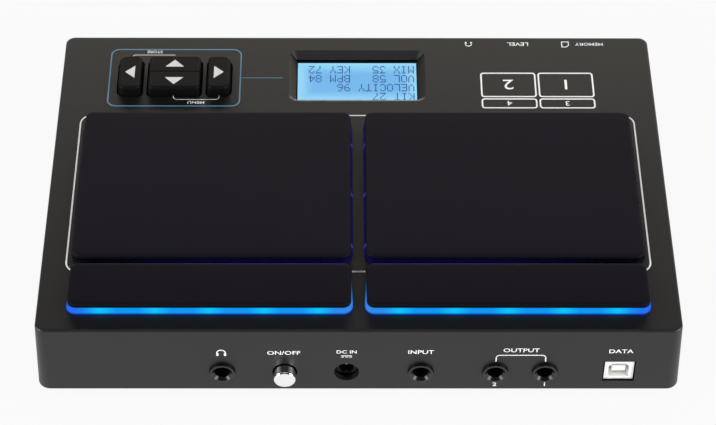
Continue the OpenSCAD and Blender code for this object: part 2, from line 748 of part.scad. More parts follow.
// Low stiffening ribs on the inside of the bottom plate
module base_ribs() for (s = [-1, 1]) {
    translate([0, s * stand_d, 0])
        block(case_w - 4 * foot_inset, rib_t, case_z + base_t / 2, base_top_z + base_rib_h);
    translate([s * (case_w / 2 - 2 * foot_inset), 0, 0])
        block(rib_t, 2 * stand_d, case_z + base_t / 2, base_top_z + base_rib_h);
}

module rubber_feet() color("#151515") for (p = FEET) translate(p) rotate_extrude() polygon([
    [0, 0], [foot_dia / 2 - foot_taper - foot_edge, 0], [foot_dia / 2 - foot_taper, foot_edge],
    [foot_dia / 2, foot_h], [foot_dia / 2, foot_h + foot_seat], [0, foot_h + foot_seat]]);

module screws() color("#8d8d90")
    for (p = concat(CASE_SCREWS, MAIN_SCREWS, CONTROL_SCREWS)) translate(p) screw();

// Pan-head screw, pointing up, with its head under z = 0
module screw() rotate_extrude() polygon([
    [0, -screw_head_h], [screw_head_dia / 2 - screw_head_h / 3, -screw_head_h],
    [screw_head_dia / 2, -screw_head_h / 2], [screw_head_dia / 2, 0], [screw_dia / 2, 0],
    [screw_dia / 2, screw_l - screw_dia / 2], [screw_dia / 6, screw_l], [0, screw_l]]);

module stand_inserts() color("#b08d4a") for (p = INSERTS) translate(p) difference() {
    post(insert_dia, case_z, case_z + insert_l);
    post(insert_bore, case_z - eps, case_z + insert_l + eps);
}

// Pads

// Rubber block that rests on the plate; its lip may hang down around the plate's edge
module pad_cover(pad) color("#212023") translate(pad_pos(pad)) difference() {
    union() {
        leaning_block(pad_w, pad_d(pad), pad_r, lip_z, pad_top_z, 0, lip_edge_r);
        slab(plate_w, plate_d(pad), plate_r, plate_top_z, lip_z + lip_t / 2);
    }
    slab(plate_w + 2 * fit_clear, plate_d(pad) + 2 * fit_clear, plate_r + fit_clear,
        min(lip_z, plate_top_z) - eps, plate_top_z);
}

module pad_plate(pad) color("#4a4a4d") translate(pad_pos(pad))
    slab(plate_w, plate_d(pad), plate_r, plate_z, plate_top_z);

// Brass disc bonded under the plate, with a smaller ceramic disc under it
module pad_sensor(pad) color("#c39a4b") translate(pad_pos(pad)) {
    post(sensor_dia(pad), plate_z - sensor_t / 2, plate_z);
    post(sensor_dia(pad) * ceramic_share, plate_z - sensor_t, plate_z - sensor_t / 4);
}

module pad_foam(pad) color("#3b3b3e") translate(pad_pos(pad)) for (s = [-1, 1])
    translate([s * (plate_w / 2 - foam_inset - foam_w / 2), 0, 0])
        block(foam_w, plate_d(pad) - 2 * foam_inset, panel_z, plate_z);

// Clear skirt under a pad's lip: all round a front pad, around the rear of a rear pad
module light_guide(pad) color(is_rear(pad) ? "#1595ff" : "#15206e") translate(pad_pos(pad)) difference() {
    if (is_rear(pad)) rear_skirt();
    else front_skirt();
    slab(pad_w - 2 * guide_w, pad_d(pad) - 2 * guide_w, pad_r - guide_w, panel_z - eps, guide_top_z + eps);
    if (is_rear(pad)) translate([0, -guide_arm, 0])
        block(pad_w + 4 * guide_flare, rear_pad_d, panel_z - eps, guide_top_z + eps);
}

// Skirt that stands out on all four sides and is rounder at its foot than at its top
module front_skirt() hull($fn = corner_fn) {
    slab(pad_w, front_pad_d, pad_r, guide_top_z - guide_edge, guide_top_z);
    slab(pad_w + 2 * guide_flare, front_pad_d + 2 * guide_flare, guide_foot_r, panel_z, panel_z + guide_edge);
}

// Skirt that stands out at the rear and tapers to nothing along the pad's ends
module rear_skirt() hull() for (sx = [-1, 1], sy = [-1, 1])
    translate([sx * (pad_w / 2 - pad_r), sy * (rear_pad_d / 2 - pad_r), panel_z])
        cylinder(r1 = pad_r + (sy > 0 ? guide_flare : 0), r2 = pad_r, h = guide_h, $fn = corner_fn);

module led_boards() color("#1d5a35") difference() {
    union() {
        translate([0, rear_led_y, 0])
            block(rear_led_board_w, rear_led_board_d, led_board_top_z - led_board_t, led_board_top_z);
        translate([0, front_led_board_y, 0])
            block(front_led_board_w, front_led_board_d, led_board_top_z - led_board_t, led_board_top_z);
    }
    for (p = STAKES) translate(p)
        post(stake_dia + 2 * pilot_clear, led_board_top_z - led_board_t - eps, led_board_top_z + eps);
}

module leds() color("#e8f0ff") {
    for (p = REAR_LEDS) translate(p) block(led_l, led_w, led_board_top_z, led_board_top_z + led_h);
    for (p = FRONT_LEDS) translate(p) block(led_w, led_l, led_board_top_z, led_board_top_z + led_h);
}

// Display

module display_lens() color("#9fc8f0") translate(display_pos)
    slab(lens_w, lens_d, opening_r, ceiling_z - lens_t, ceiling_z);

module lcd_panel() color("#86bdf5") translate(display_pos)
    block(lcd_w - 2 * (lcd_sheet + fit_clear), lcd_d - 2 * (lcd_sheet + fit_clear),
        control_board_top_z, lcd_top_z - lcd_sheet);

// Bent metal frame around the glass, with a window for the lit area
module lcd_frame() color("#b9bbbe") translate(display_pos) difference() {
    block(lcd_w, lcd_d, control_board_top_z, lcd_top_z);
    block(lcd_w - 2 * lcd_sheet, lcd_d - 2 * lcd_sheet, control_board_top_z - eps, lcd_top_z - lcd_sheet);
    block(screen_w, screen_d, control_board_top_z, lcd_top_z + eps);
}

module control_board() color("#1d5a35") difference() {
    translate([control_board_x0, control_board_y0, control_board_z])
        cube([control_board_x1 - control_board_x0, control_board_y1 - control_board_y0, board_t]);
    for (p = CONTROL_SCREWS) translate(p) post(screw_dia + 2 * hole_clear, -eps, board_t + eps);
}

// Keys

// Hollow key cap with a retaining flange and a stem that stands on the switch
module key(key) color("#1b1b1d") translate(key_pos(key)) {
    difference() {
        union() {
            if (is_mid(key)) mid_key_form(key_sign(key));
            else side_key_form(key_sign(key));
            key_flange(key);
        }
        slab(key_w(key) - 2 * (key_draft + key_wall), key_d(key) - 2 * (key_draft + key_wall), key_r / 2,
            key_z - eps, key_top_z - key_top_t);
    }
    post(key_stem_dia, key_z, key_top_z - key_top_t / 2);
}

// A middle key is one half of a block that is split between the two
module mid_key_form(side) intersection() {
    translate([0, -side * key_mid_y, 0])
        leaning_block(key_mid_w - 2 * key_draft, keys_d - 2 * key_draft, key_r,
            key_z, key_top_z, key_draft, key_edge_r);
    translate([0, side * eps, 0])
        block(key_mid_w + 2 * eps, key_mid_d + 2 * eps, key_z - eps, key_top_z + eps);
}

// A side key is rounder on its outer side
module side_key_form(side) hull() for (sx = [-1, 1], sy = [-1, 1]) {
    r = sx == side ? key_outer_r : key_r;
    translate([sx * (key_side_w / 2 - key_draft - r), sy * (keys_d / 2 - key_draft - r), key_z])
        rotate_extrude($fn = corner_fn) corner_section(r, key_top_z - key_z, key_draft, key_edge_r);
}

// The flange of a middle key leaves out the side that faces its neighbour
module key_flange(key) {
    side_lap = is_mid(key) ? key_flange_w : 2 * key_flange_w;
    shift = is_mid(key) ? key_sign(key) * key_flange_w / 2 : 0;
    translate([0, shift, 0])
        slab(key_w(key) + 2 * key_flange_w, key_d(key) + side_lap, key_r, key_z, key_z + key_flange_t);
}

module key_plunger(key) color("#e2e0da") translate(key_pos(key))
    post(plunger_dia, key_z - plunger_out - plunger_in, key_z);

module key_switches() color("#2a2a2a") for (key = KEYS) translate(key_pos(key)) difference() {
    block(switch_w, switch_w, control_board_top_z, control_board_top_z + switch_h);
    post(plunger_dia + 2 * plunger_clear, control_board_top_z + switch_base_t,
        control_board_top_z + switch_h + eps);
}

// Main board and what it carries

module main_board() color("#1d5a35") difference() {
    translate([main_board_x0, main_board_y0, main_board_z])
        cube([main_board_x1 - main_board_x0, main_board_d, board_t]);
    for (p = MAIN_SCREWS) translate(p) post(screw_dia + 2 * hole_clear, -eps, board_t + eps);
}

// Chips, capacitors and the two ribbon sockets
module board_parts() color("#202124") {
    mid_y = main_board_y0 + main_board_d / 2;
    translate([processor_x, mid_y, main_board_top_z]) block(processor_w, processor_w, 0, processor_h);
    translate([memory_x, mid_y, main_board_top_z]) block(memory_w, memory_d, 0, memory_h);
    for (i = [0 : capacitor_count - 1])
        translate([capacitor_x + capacitor_pitch * i, mid_y, main_board_top_z])
            post(capacitor_dia, 0, capacitor_h);
    translate([ribbon_x, ribbon_y0 - ribbon_socket_d, control_board_z - ribbon_socket_h])
        housing(ribbon_socket_w, 0, ribbon_socket_d, 0, ribbon_socket_h);
    translate([ribbon_x, ribbon_y1, main_board_top_z])
        housing(ribbon_socket_w, 0, ribbon_socket_d, 0, ribbon_socket_h);
}

// Ribbon cable that sags between its two sockets
module ribbon_cable() color("#9a9da3") {
    path = [for (i = [0 : ribbon_steps]) ribbon_point(i / ribbon_steps)];
    upper = [for (p = path) p + [0, ribbon_t / 2]];
    lower = [for (i = [ribbon_steps : -1 : 0]) path[i] - [0, ribbon_t / 2]];
    translate([ribbon_x - ribbon_w / 2, 0, 0]) rotate([90, 0, 90])
        linear_extrude(ribbon_w) polygon(concat(upper, lower));
}
function ribbon_point(t) = [
    ribbon_y0 + (ribbon_y1 - ribbon_y0) * t,
    ribbon_z0 + (ribbon_z1 - ribbon_z0) * t - ribbon_sag * pow(sin(180 * t), 2)];

// Rear sockets

// Jack with a round nose, a bore and a bevelled mouth
module jack(x) color("#18181a") translate([x, 0, socket_z]) difference() {
    nose_y = rear_wall_y + jack_out;
    union() {
        housing(jack_w, housing_y - jack_d, housing_y, -jack_h / 2, jack_h / 2);
        bar(jack_nose_dia, housing_y - wall_t, nose_y);
    }
    bar(jack_bore, housing_y - jack_d + jack_back_t, nose_y + eps);
    translate([0, nose_y - jack_bevel, 0]) rotate([-90, 0, 0])
        cylinder(d1 = jack_bore, d2 = jack_bore + 2 * (jack_bevel + eps), h = jack_bevel + eps);
}

module dc_inlet() color("#161617") translate([inlet_x, 0, socket_z]) difference() {
    housing(inlet_w, inlet_y - inlet_d, inlet_y, -inlet_w / 2, main_board_z - socket_z);
    bar(inlet_bore, inlet_y - inlet_depth, inlet_y + eps);
    bar(inlet_pin_dia + 2 * fit_clear, inlet_y - inlet_d - eps, inlet_y);
}

module dc_pin() color("#c9c9cc") translate([inlet_x, inlet_y - inlet_d, socket_z]) rotate([-90, 0, 0])
    rotate_extrude() polygon([
        [0, 0], [inlet_pin_dia / 2, 0], [inlet_pin_dia / 2, inlet_d - inlet_pin_recess - inlet_pin_dia / 4],
        [inlet_pin_dia / 4, inlet_d - inlet_pin_recess], [0, inlet_d - inlet_pin_recess]]);

module usb_shell() color("#c4c6c9") translate([from_left(data_x), 0, data_z]) difference() {
    housing(data_w, data_y - data_d, data_y, -data_h / 2, data_h / 2);
    housing(data_w - 2 * data_sheet, data_y - data_d + data_sheet, data_y + eps,
        -data_h / 2 + data_sheet, data_h / 2 - data_sheet);
}

// Plastic core of the data socket: a hollow with two bevelled upper corners around a tongue
module usb_core() color("#dcdcd6") translate([from_left(data_x), 0, data_z]) {
    core_y = data_y - data_core_recess;
    half_h = data_h / 2 - data_sheet - fit_clear;
    difference() {
        housing(data_w - 2 * (data_sheet + fit_clear), data_y - data_d + data_sheet + fit_clear,
            core_y, -half_h, half_h);
        translate([0, core_y + eps, 0]) rotate([90, 0, 0]) linear_extrude(plug_depth + eps) plug_section();
    }
    housing(tongue_w, core_y - plug_depth - tongue_root, core_y - plug_depth + tongue_l,
        -tongue_h / 2, tongue_h / 2);
}

module plug_section() polygon([
    [-plug_w / 2, -plug_h / 2], [plug_w / 2, -plug_h / 2], [plug_w / 2, plug_h / 2 - plug_bevel],
    [plug_w / 2 - plug_bevel, plug_h / 2], [plug_bevel - plug_w / 2, plug_h / 2],
    [-plug_w / 2, plug_h / 2 - plug_bevel]]);

module power_switch() color("#26262a") translate([power_x, 0, socket_z]) difference() {
    slot = power_stem / 2 + stem_clear;
    housing(power_switch_w, power_switch_y - power_switch_d, power_switch_y,
        -power_switch_w / 2, main_board_z - socket_z);
    housing(2 * slot, power_switch_y - stem_in - button_travel - travel_spare, power_switch_y + eps,
        -slot, slot);
}

module power_plunger() color("#e6e6e2") translate([power_x, 0, socket_z])
    housing(power_stem, power_switch_y - stem_in, button_y - button_l + stem_in,
        -power_stem / 2, power_stem / 2);

// Round push button with a rounded face and a square socket for the plunger
module power_button() color("#d8dadd") translate([power_x, button_y - button_l, socket_z]) difference() {
    arc = [for (a = [0 : 15 : 90])
        [button_dia / 2 - button_edge + button_edge * cos(a), button_l - button_edge + button_edge * sin(a)]];
    rotate([-90, 0, 0]) rotate_extrude() polygon(concat([[0, 0], [button_dia / 2, 0]], arc, [[0, button_l]]));
    housing(power_stem + 2 * fit_clear, -eps, stem_in + fit_clear,
        -power_stem / 2 - fit_clear, power_stem / 2 + fit_clear);
}

// Dials and card socket

module volume_pots() color("#3a3c40") for (x = DIALS) translate([x, 0, dial_z]) difference() {
    union() {
        housing(pot_w, pot_y, pot_y + pot_d, -pot_w / 2, control_board_z - dial_z);
        bar(bushing_dia, front_wall_y - bushing_out, pot_y + bushing_root);
    }
    bar(shaft_dia + 2 * shaft_clear, front_wall_y - bushing_out - eps, pot_y + pot_d - pot_back_t);
}

module dial_shaft(x) color("#b9bbbe") translate([x, 0, dial_z])
    bar(shaft_dia, dial_y - shaft_grip, pot_y + pot_d - pot_back_t - shaft_end_gap);

// Grooved dial with a rounded front edge, a pointer notch and a blind hole for its shaft
module dial(x) color("#1c1c1e") translate([x, dial_y, dial_z]) rotate([90, 0, 0]) difference() {
    r = dial_dia / 2;
    arc = [for (a = [0 : 15 : 90])
        [r - dial_edge + dial_edge * cos(a), dial_l - dial_edge + dial_edge * sin(a)]];
    rotate_extrude() polygon(concat([[0, 0], [r, 0]], arc, [[0, dial_l]]));
    for (i = [1 : dial_grooves - 1]) rotate(90 + i * 360 / dial_grooves)
        translate([r + groove_dia / 4, 0, groove_start]) cylinder(d = groove_dia, h = dial_l);
    translate([-groove_dia / 2, r / 3, dial_l - pointer_depth]) cube([groove_dia, r, 2 * pointer_depth]);
    post(shaft_dia + 2 * fit_clear, -eps, shaft_grip + fit_clear);
}

module sd_socket() color("#b4b6b9") translate([from_left(card_x), 0, card_z]) difference() {
    housing(card_w + 2 * card_rail, card_y, card_y + card_socket_d, -card_socket_h / 2, card_socket_h / 2);
    housing(card_w, card_y - eps, card_y + card_socket_d - card_back_t, -card_h / 2, card_h / 2);
}

placed() top_shell();
placed() bottom_plate();
placed() rubber_feet();
placed() screws();
placed() stand_inserts();
placed() pad_cover("front_left");  // pad_cover_front_left
placed() pad_cover("front_right");  // pad_cover_front_right
placed() pad_cover("rear_left");  // pad_cover_rear_left
placed() pad_cover("rear_right");  // pad_cover_rear_right
placed() pad_plate("front_left");  // pad_plate_front_left
placed() pad_plate("front_right");  // pad_plate_front_right
placed() pad_plate("rear_left");  // pad_plate_rear_left
placed() pad_plate("rear_right");  // pad_plate_rear_right
placed() pad_sensor("front_left");  // pad_sensor_front_left
placed() pad_sensor("front_right");  // pad_sensor_front_right
placed() pad_sensor("rear_left");  // pad_sensor_rear_left
placed() pad_sensor("rear_right");  // pad_sensor_rear_right
placed() pad_foam("front_left");  // pad_foam_front_left
placed() pad_foam("front_right");  // pad_foam_front_right
placed() pad_foam("rear_left");  // pad_foam_rear_left
placed() pad_foam("rear_right");  // pad_foam_rear_right
placed() light_guide("front_left");  // light_guide_front_left
placed() light_guide("front_right");  // light_guide_front_right
placed() light_guide("rear_left");  // light_guide_rear_left
placed() light_guide("rear_right");  // light_guide_rear_right
placed() led_boards();
placed() leds();
placed() display_lens();
placed() lcd_panel();
placed() lcd_frame();
placed() control_board();
placed() key("left");  // key_left
placed() key("right");  // key_right
placed() key("up");  // key_up
placed() key("down");  // key_down
placed() key_plunger("left");  // key_plunger_left
placed() key_plunger("right");  // key_plunger_right
placed() key_plunger("up");  // key_plunger_up
placed() key_plunger("down");  // key_plunger_down
placed() key_switches();
placed() main_board();
placed() board_parts();
placed() jack(phones_x);  // jack_phones
placed() jack(-trigger_x);  // jack_trigger
placed() jack(from_left(out_right_x));  // jack_out_right
placed() jack(from_left(out_left_x));  // jack_out_left
placed() dc_inlet();
placed() dc_pin();
placed() usb_shell();
placed() usb_core();
placed() power_switch();
placed() power_plunger();
placed() power_button();
placed() volume_pots();
placed() dial_shaft(from_left(phones_dial_x));  // phones_shaft
placed() dial(from_left(phones_dial_x));  // phones_dial
placed() dial_shaft(from_left(main_dial_x));  // main_shaft
placed() dial(from_left(main_dial_x));  // main_dial
placed() sd_socket();
placed() ribbon_cable();
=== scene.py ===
"""Looks of a four-pad sampling percussion instrument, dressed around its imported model.

The player sits at -Y, the sockets face +Y and +Z is up. Size fields are in millimetres, and
places on the top panel are measured from the panel's middle.
"""

import logging
import math
from dataclasses import dataclass, replace
from enum import Enum
from typing import Sequence

import bmesh
import bpy
from mathutils import Matrix, Vector


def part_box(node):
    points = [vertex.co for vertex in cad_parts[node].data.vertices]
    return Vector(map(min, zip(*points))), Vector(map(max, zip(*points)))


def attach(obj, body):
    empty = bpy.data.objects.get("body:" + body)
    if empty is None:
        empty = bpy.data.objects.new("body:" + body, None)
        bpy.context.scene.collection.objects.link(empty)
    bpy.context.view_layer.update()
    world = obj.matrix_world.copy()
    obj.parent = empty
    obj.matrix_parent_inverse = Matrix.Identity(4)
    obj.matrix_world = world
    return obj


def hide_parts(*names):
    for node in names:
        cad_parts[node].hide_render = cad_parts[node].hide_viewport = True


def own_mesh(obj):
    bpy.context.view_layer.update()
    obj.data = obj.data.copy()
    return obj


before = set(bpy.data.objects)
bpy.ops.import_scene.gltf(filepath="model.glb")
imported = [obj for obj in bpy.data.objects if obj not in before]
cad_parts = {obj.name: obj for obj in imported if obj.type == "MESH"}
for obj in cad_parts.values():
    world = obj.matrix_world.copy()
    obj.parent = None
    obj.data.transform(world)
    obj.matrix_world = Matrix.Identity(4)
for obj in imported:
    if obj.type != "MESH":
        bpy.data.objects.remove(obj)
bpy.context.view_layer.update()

Triple = tuple[float, float, float]
Colour = Triple
Point = tuple[float, float]
Socket = bpy.types.NodeSocket

LOG = logging.getLogger("percussion_pad")
MM = 0.001
TINY = 1e-6
SHARP_ANGLE = 40
BLACK: Colour = (0.0, 0.0, 0.0)
WHITE: Colour = (1.0, 1.0, 1.0)


class Pad(Enum):
    """The four playing pads, by where they lie for the player."""

    FRONT_LEFT = "front_left"
    FRONT_RIGHT = "front_right"
    REAR_LEFT = "rear_left"
    REAR_RIGHT = "rear_right"

    @property
    def is_rear(self) -> bool:
        """Whether this is one of the narrow pads next to the sockets."""
        return self in (Pad.REAR_LEFT, Pad.REAR_RIGHT)


class Key(Enum):
    """The four cursor keys, by where they point for the player."""

    LEFT = "left"
    RIGHT = "right"
    UP = "up"
    DOWN = "down"

    @property
    def is_side(self) -> bool:
        """Whether this is one of the two long keys at the sides."""
        return self in (Key.LEFT, Key.RIGHT)

    @property
    def sign(self) -> int:
        """Which way along its axis the key points."""
        return -1 if self in (Key.LEFT, Key.DOWN) else 1


def scaled(colour: Colour, factor: float) -> Colour:
    """Makes a colour lighter or darker by a factor."""
    return tuple(factor * part for part in colour)


class Wiring:
    """Adds and joins the nodes of one material."""

    CLOUD_SPAN = (0.25, 0.75)
    MIX_LOW, MIX_HIGH, MIX_RESULT = 6, 7, 2
    BRICK_ROWS = 4

    def __init__(self, name: str) -> None:
        """Starts a material with one shader.

        Args:
            name: Name of the material.
        """
        self.material = bpy.data.materials.new(name)
        self.material.use_nodes = True
        self.tree = self.material.node_tree
        self.shader = self.tree.nodes["Principled BSDF"]
        self.place = self.node("ShaderNodeTexCoord").outputs["Object"]

    def node(self, kind: str, **settings: object) -> bpy.types.Node:
        """Adds a node.

        Args:
            kind: Blender's name of the node type.
            settings: Properties to set on the node.

        Returns:
            The new node.
        """
        made = self.tree.nodes.new(kind)
        for key, value in settings.items():
            setattr(made, key, value)
        return made

    def feed(self, target: Socket, value: Socket | float) -> None:
        """Sets an input to a number, or joins it to an output.

        Args:
            target: The input.
            value: A number or an output.
        """
        if isinstance(value, (int, float)):
            target.default_value = value
        else:
            self.tree.links.new(value, target)

    def settle(self, **values: object) -> None:
        """Sets inputs of the shader that are the same all over the surface.

        Args:
            values: Input names with underscores for spaces, and their values.
        """
        for key, value in values.items():
            self.shader.inputs[key.replace("_", " ")].default_value = value

    def axis(self, name: str) -> Socket:
        """Gives one coordinate of the surface.

        Args:
            name: X, Y or Z.

        Returns:
            The coordinate in metres.
        """
        split = self.node("ShaderNodeSeparateXYZ")
        self.feed(split.inputs[0], self.place)
        return split.outputs[name]

    def maths(self, operation: str, *values: Socket | float) -> Socket:
        """Adds a sum.

        Args:
            operation: Blender's name of the operation.
            values: Numbers or outputs to work on.

        Returns:
            The result.
        """
        made = self.node("ShaderNodeMath", operation=operation)
        for target, value in zip(made.inputs, values):
            self.feed(target, value)
        return made.outputs[0]

    def noise(self, size: float, detail: float = 2.0, stretch: Triple = (1, 1, 1)) -> Socket:
        """Adds a cloudy pattern.

        Args:
            size: Size of its blotches in millimetres.
            detail: How much finer detail it has.
            stretch: How much finer it is along each axis.

        Returns:
            The pattern, from 0 to 1.
        """
        mapping = self.node("ShaderNodeMapping")
        mapping.inputs["Scale"].default_value = stretch
        self.feed(mapping.inputs["Vector"], self.place)
        made = self.node("ShaderNodeTexNoise")
        made.inputs["Scale"].default_value = 1 / (size * MM)
        made.inputs["Detail"].default_value = detail
        self.feed(made.inputs["Vector"], mapping.outputs[0])
        return made.outputs["Fac"]

    def bricks(self, row: float, gap: float, **settings: object) -> bpy.types.Node:
        """Adds a pattern of even rows of bricks.

        Args:
            row: Height of its rows in millimetres.
            gap: Width of its joints, in the node's own measure.
            settings: Properties to set on the node.

        Returns:
            The node of the pattern.
        """
        made = self.node("ShaderNodeTexBrick", **settings)
        made.inputs["Scale"].default_value = 1 / (self.BRICK_ROWS * row * MM)
        made.inputs["Mortar Size"].default_value = gap
        self.feed(made.inputs["Vector"], self.place)
        return made

    def ramp(self, share: Socket, *stops: tuple[float, Colour]) -> Socket:
        """Turns a share into a colour.

        Args:
            share: The value, from 0 to 1.
            stops: Two positions and their colours.

        Returns:
            The colour.
        """
        made = self.node("ShaderNodeValToRGB")
        for point, (position, colour) in zip(made.color_ramp.elements, stops):
            point.position = position
            point.color = (*colour, 1)
        self.feed(made.inputs[0], share)
        return made.outputs["Color"]

    def mix(self, share: Socket | float, low: Socket, high: Socket | Colour, blend: str = "MIX") -> Socket:
        """Mixes two colours.

        Args:
            share: How much of the second colour there is.
            low: The first colour.
            high: The second colour.
            blend: Blender's name of the way of mixing.

        Returns:
            The mixed colour.
        """
        made = self.node("ShaderNodeMix", data_type="RGBA", blend_type=blend)
        self.feed(made.inputs["Factor"], share)
        self.feed(made.inputs[self.MIX_LOW], low)
        if isinstance(high, tuple):
            made.inputs[self.MIX_HIGH].default_value = (*high, 1)
        else:
            self.feed(made.inputs[self.MIX_HIGH], high)
        return made.outputs[self.MIX_RESULT]

    def spread(self, share: Socket, span: Point, limits: Point) -> Socket:
        """Maps a value from one range to another.

        Args:
            share: The value.
            span: Where it starts and ends.
            limits: What its ends turn into.

        Returns:
            The mapped value, kept within the limits.
        """
        made = self.node("ShaderNodeMapRange", interpolation_type="SMOOTHSTEP")
        for target, value in zip(made.inputs, (share, *span, *limits)):
            self.feed(target, value)
        return made.outputs[0]

    def fade(self, reach: Socket, span: Point, limits: Point) -> Socket:
        """Maps a coordinate from a span in millimetres to two limits."""
        return self.spread(reach, (span[0] * MM, span[1] * MM), limits)

    def off_beat(self, reach: Socket, first: float, pitch: float) -> Socket:
        """Measures how far a place is from the nearest of a row of even steps.

        Args:
            reach: The coordinate in metres.
            first: Where one of the steps lies, in millimetres.
            pitch: Distance between two steps, in millimetres.

        Returns:
            The distance as a share of the pitch.
        """
        turns = self.maths("DIVIDE", self.maths("SUBTRACT", reach, first * MM), pitch * MM)
        phase = self.maths("FRACT", self.maths("ADD", turns, 0.5))
        return self.maths("ABSOLUTE", self.maths("SUBTRACT", phase, 0.5))

    def tint(self, share: Socket, colour: Colour, swing: float) -> None:
        """Gives the shader a colour that varies a little.

        Args:
            share: The pattern that it follows.
            colour: The middle colour.
            swing: The largest change, as a share of the colour.
        """
        ends = (scaled(colour, 1 - swing), scaled(colour, 1 + swing))
        self.feed(self.shader.inputs["Base Color"], self.ramp(share, *zip(self.CLOUD_SPAN, ends)))

    def gloss(self, share: Socket, roughness: float, swing: float) -> None:
        """Gives the shader a roughness that varies a little.

        Args:
            share: The pattern that it follows.
            roughness: The middle roughness.
            swing: The largest change.
        """
        limits = (max(0.0, roughness - swing), min(1.0, roughness + swing))
        self.feed(self.shader.inputs["Roughness"], self.spread(share, self.CLOUD_SPAN, limits))

    def bump(self, height: Socket, depth: float, strength: float) -> None:
        """Gives the surface fine relief.

        Args:
            height: The pattern that it follows.
            depth: Depth of the relief in millimetres.
            strength: How much of it shows.
        """
        made = self.node("ShaderNodeBump")
        made.inputs["Distance"].default_value = depth * MM
        made.inputs["Strength"].default_value = strength
        self.feed(made.inputs["Height"], height)
        self.feed(self.shader.inputs["Normal"], made.outputs[0])

    def shine(self, colour: Socket, strength: float = 1.0) -> None:
        """Lets the surface give light of a colour and a strength."""
        self.feed(self.shader.inputs["Emission Color"], colour)
        self.settle(Emission_Strength=strength)


@dataclass(frozen=True)
class Finish:
    """A finish that makes its own material."""

    name: str

    def wire(self, wiring: Wiring) -> None:
        """Adds the nodes of the finish to a material."""
        raise NotImplementedError

    def material(self) -> bpy.types.Material:
        """Builds the material.

        Returns:
            The material with its nodes.
        """
        wiring = Wiring(self.name)
        self.wire(wiring)
        return wiring.material


@dataclass(frozen=True)
class MouldedPlastic(Finish):
    """Moulded plastic with the fine grain of an eroded mould."""

    colour: Colour
    roughness: float = 0.4
    specular: float = 0.5
    grain: float = 0.45
    depth: float = 0.012
    relief: float = 0.35
    cloud_grains: float = 40
    colour_swing: float = 0.12
    gloss_swing: float = 0.05

    def wire(self, wiring: Wiring) -> None:
        """Adds the grain and its clouds.

        Args:
            wiring: The material that they go into.
        """
        grain = wiring.noise(self.grain, detail=3)
        wiring.tint(wiring.noise(self.cloud_grains * self.grain), self.colour, self.colour_swing)
        wiring.gloss(grain, self.roughness, self.gloss_swing)
        wiring.bump(grain, self.depth, self.relief)
        wiring.settle(Specular_IOR_Level=self.specular)


@dataclass(frozen=True)
class Rubber(Finish):
    """Matt rubber with a soft mottle, a powdery skin and, if it has a glow, a painted highlight along one
    edge.
    """

    colour: Colour
    roughness: float = 0.62
    specular: float = 0.3
    skin: float = 0.6
    depth: float = 0.02
    relief: float = 0.3
    mottle: float = 26
    colour_swing: float = 0.1
    gloss_swing: float = 0.06
    glow: Colour | None = None
    painted_highlight_y: float = 0
    painted_highlight_depth: float = 1.3
    painted_highlight_from: float = 112
    painted_highlight_to: float = 40

    def wire(self, wiring: Wiring) -> None:
        """Adds the skin, the mottle and the painted highlight along the edge.

        Args:
            wiring: The material that they go into.
        """
        skin = wiring.noise(self.skin, detail=4)
        wiring.tint(wiring.noise(self.mottle), self.colour, self.colour_swing)
        wiring.gloss(skin, self.roughness, self.gloss_swing)
        wiring.bump(skin, self.depth, self.relief)
        wiring.settle(Specular_IOR_Level=self.specular)
        # Painted highlight: emission along the front edge, fading inward along X, stands in for blue lamp
        # light caught on the rounded lip; the rubber gives no light of its own.
        if self.glow:
            edge = wiring.fade(wiring.axis("Y"), (self.painted_highlight_y, self.painted_highlight_y + self.painted_highlight_depth), (1, 0))
            across = wiring.maths("ABSOLUTE", wiring.axis("X"))
            inward = wiring.fade(across, (self.painted_highlight_to, self.painted_highlight_from), (1, 0))
            lined = wiring.maths("MULTIPLY", edge, inward)
            wiring.shine(wiring.ramp(lined, (0, BLACK), (1, self.glow)))


@dataclass(frozen=True)
class Foam(Finish):
    """Open foam with cells that show as small pits."""

    colour: Colour
    cell: float = 0.7
    depth: float = 0.2
    relief: float = 0.8
    colour_swing: float = 0.5
    roughness: float = 0.95

    def wire(self, wiring: Wiring) -> None:
        """Adds the cells.

        Args:
            wiring: The material that they go into.
        """
        cells = wiring.node("ShaderNodeTexVoronoi")
        cells.inputs["Scale"].default_value = 1 / (self.cell * MM)
        wiring.feed(cells.inputs["Vector"], wiring.place)
        pits = cells.outputs["Distance"]
        wiring.tint(pits, self.colour, self.colour_swing)
        wiring.bump(pits, self.depth, self.relief)
        wiring.settle(Roughness=self.roughness)


@dataclass(frozen=True)
class Metal(Finish):
    """Metal with fine rolling marks."""

    colour: Colour
    roughness: float = 0.3
    gloss_swing: float = 0.06
    mark: float = 0.5
    mark_stretch: Triple = (0.2, 1, 1)
    colour_swing: float = 0.05

    def wire(self, wiring: Wiring) -> None:
        """Adds the rolling marks.

        Args:
            wiring: The material that they go into.
        """
        marks = wiring.noise(self.mark, detail=3, stretch=self.mark_stretch)
        wiring.tint(marks, self.colour, self.colour_swing)
        wiring.gloss(marks, self.roughness, self.gloss_swing)
        wiring.settle(Metallic=1.0)


@dataclass(frozen=True)
class Ink(Finish):
    """Screen-printed ink, a little uneven in its cover."""

    colour: Colour
    roughness: float = 0.5
    blotch: float = 0.5
    swing: float = 0.05

    def wire(self, wiring: Wiring) -> None:
        """Adds the uneven cover.

        Args:
            wiring: The material that it goes into.
        """
        cover = wiring.noise(self.blotch, detail=3)
        wiring.tint(cover, self.colour, self.swing)
        wiring.gloss(cover, self.roughness, self.swing)


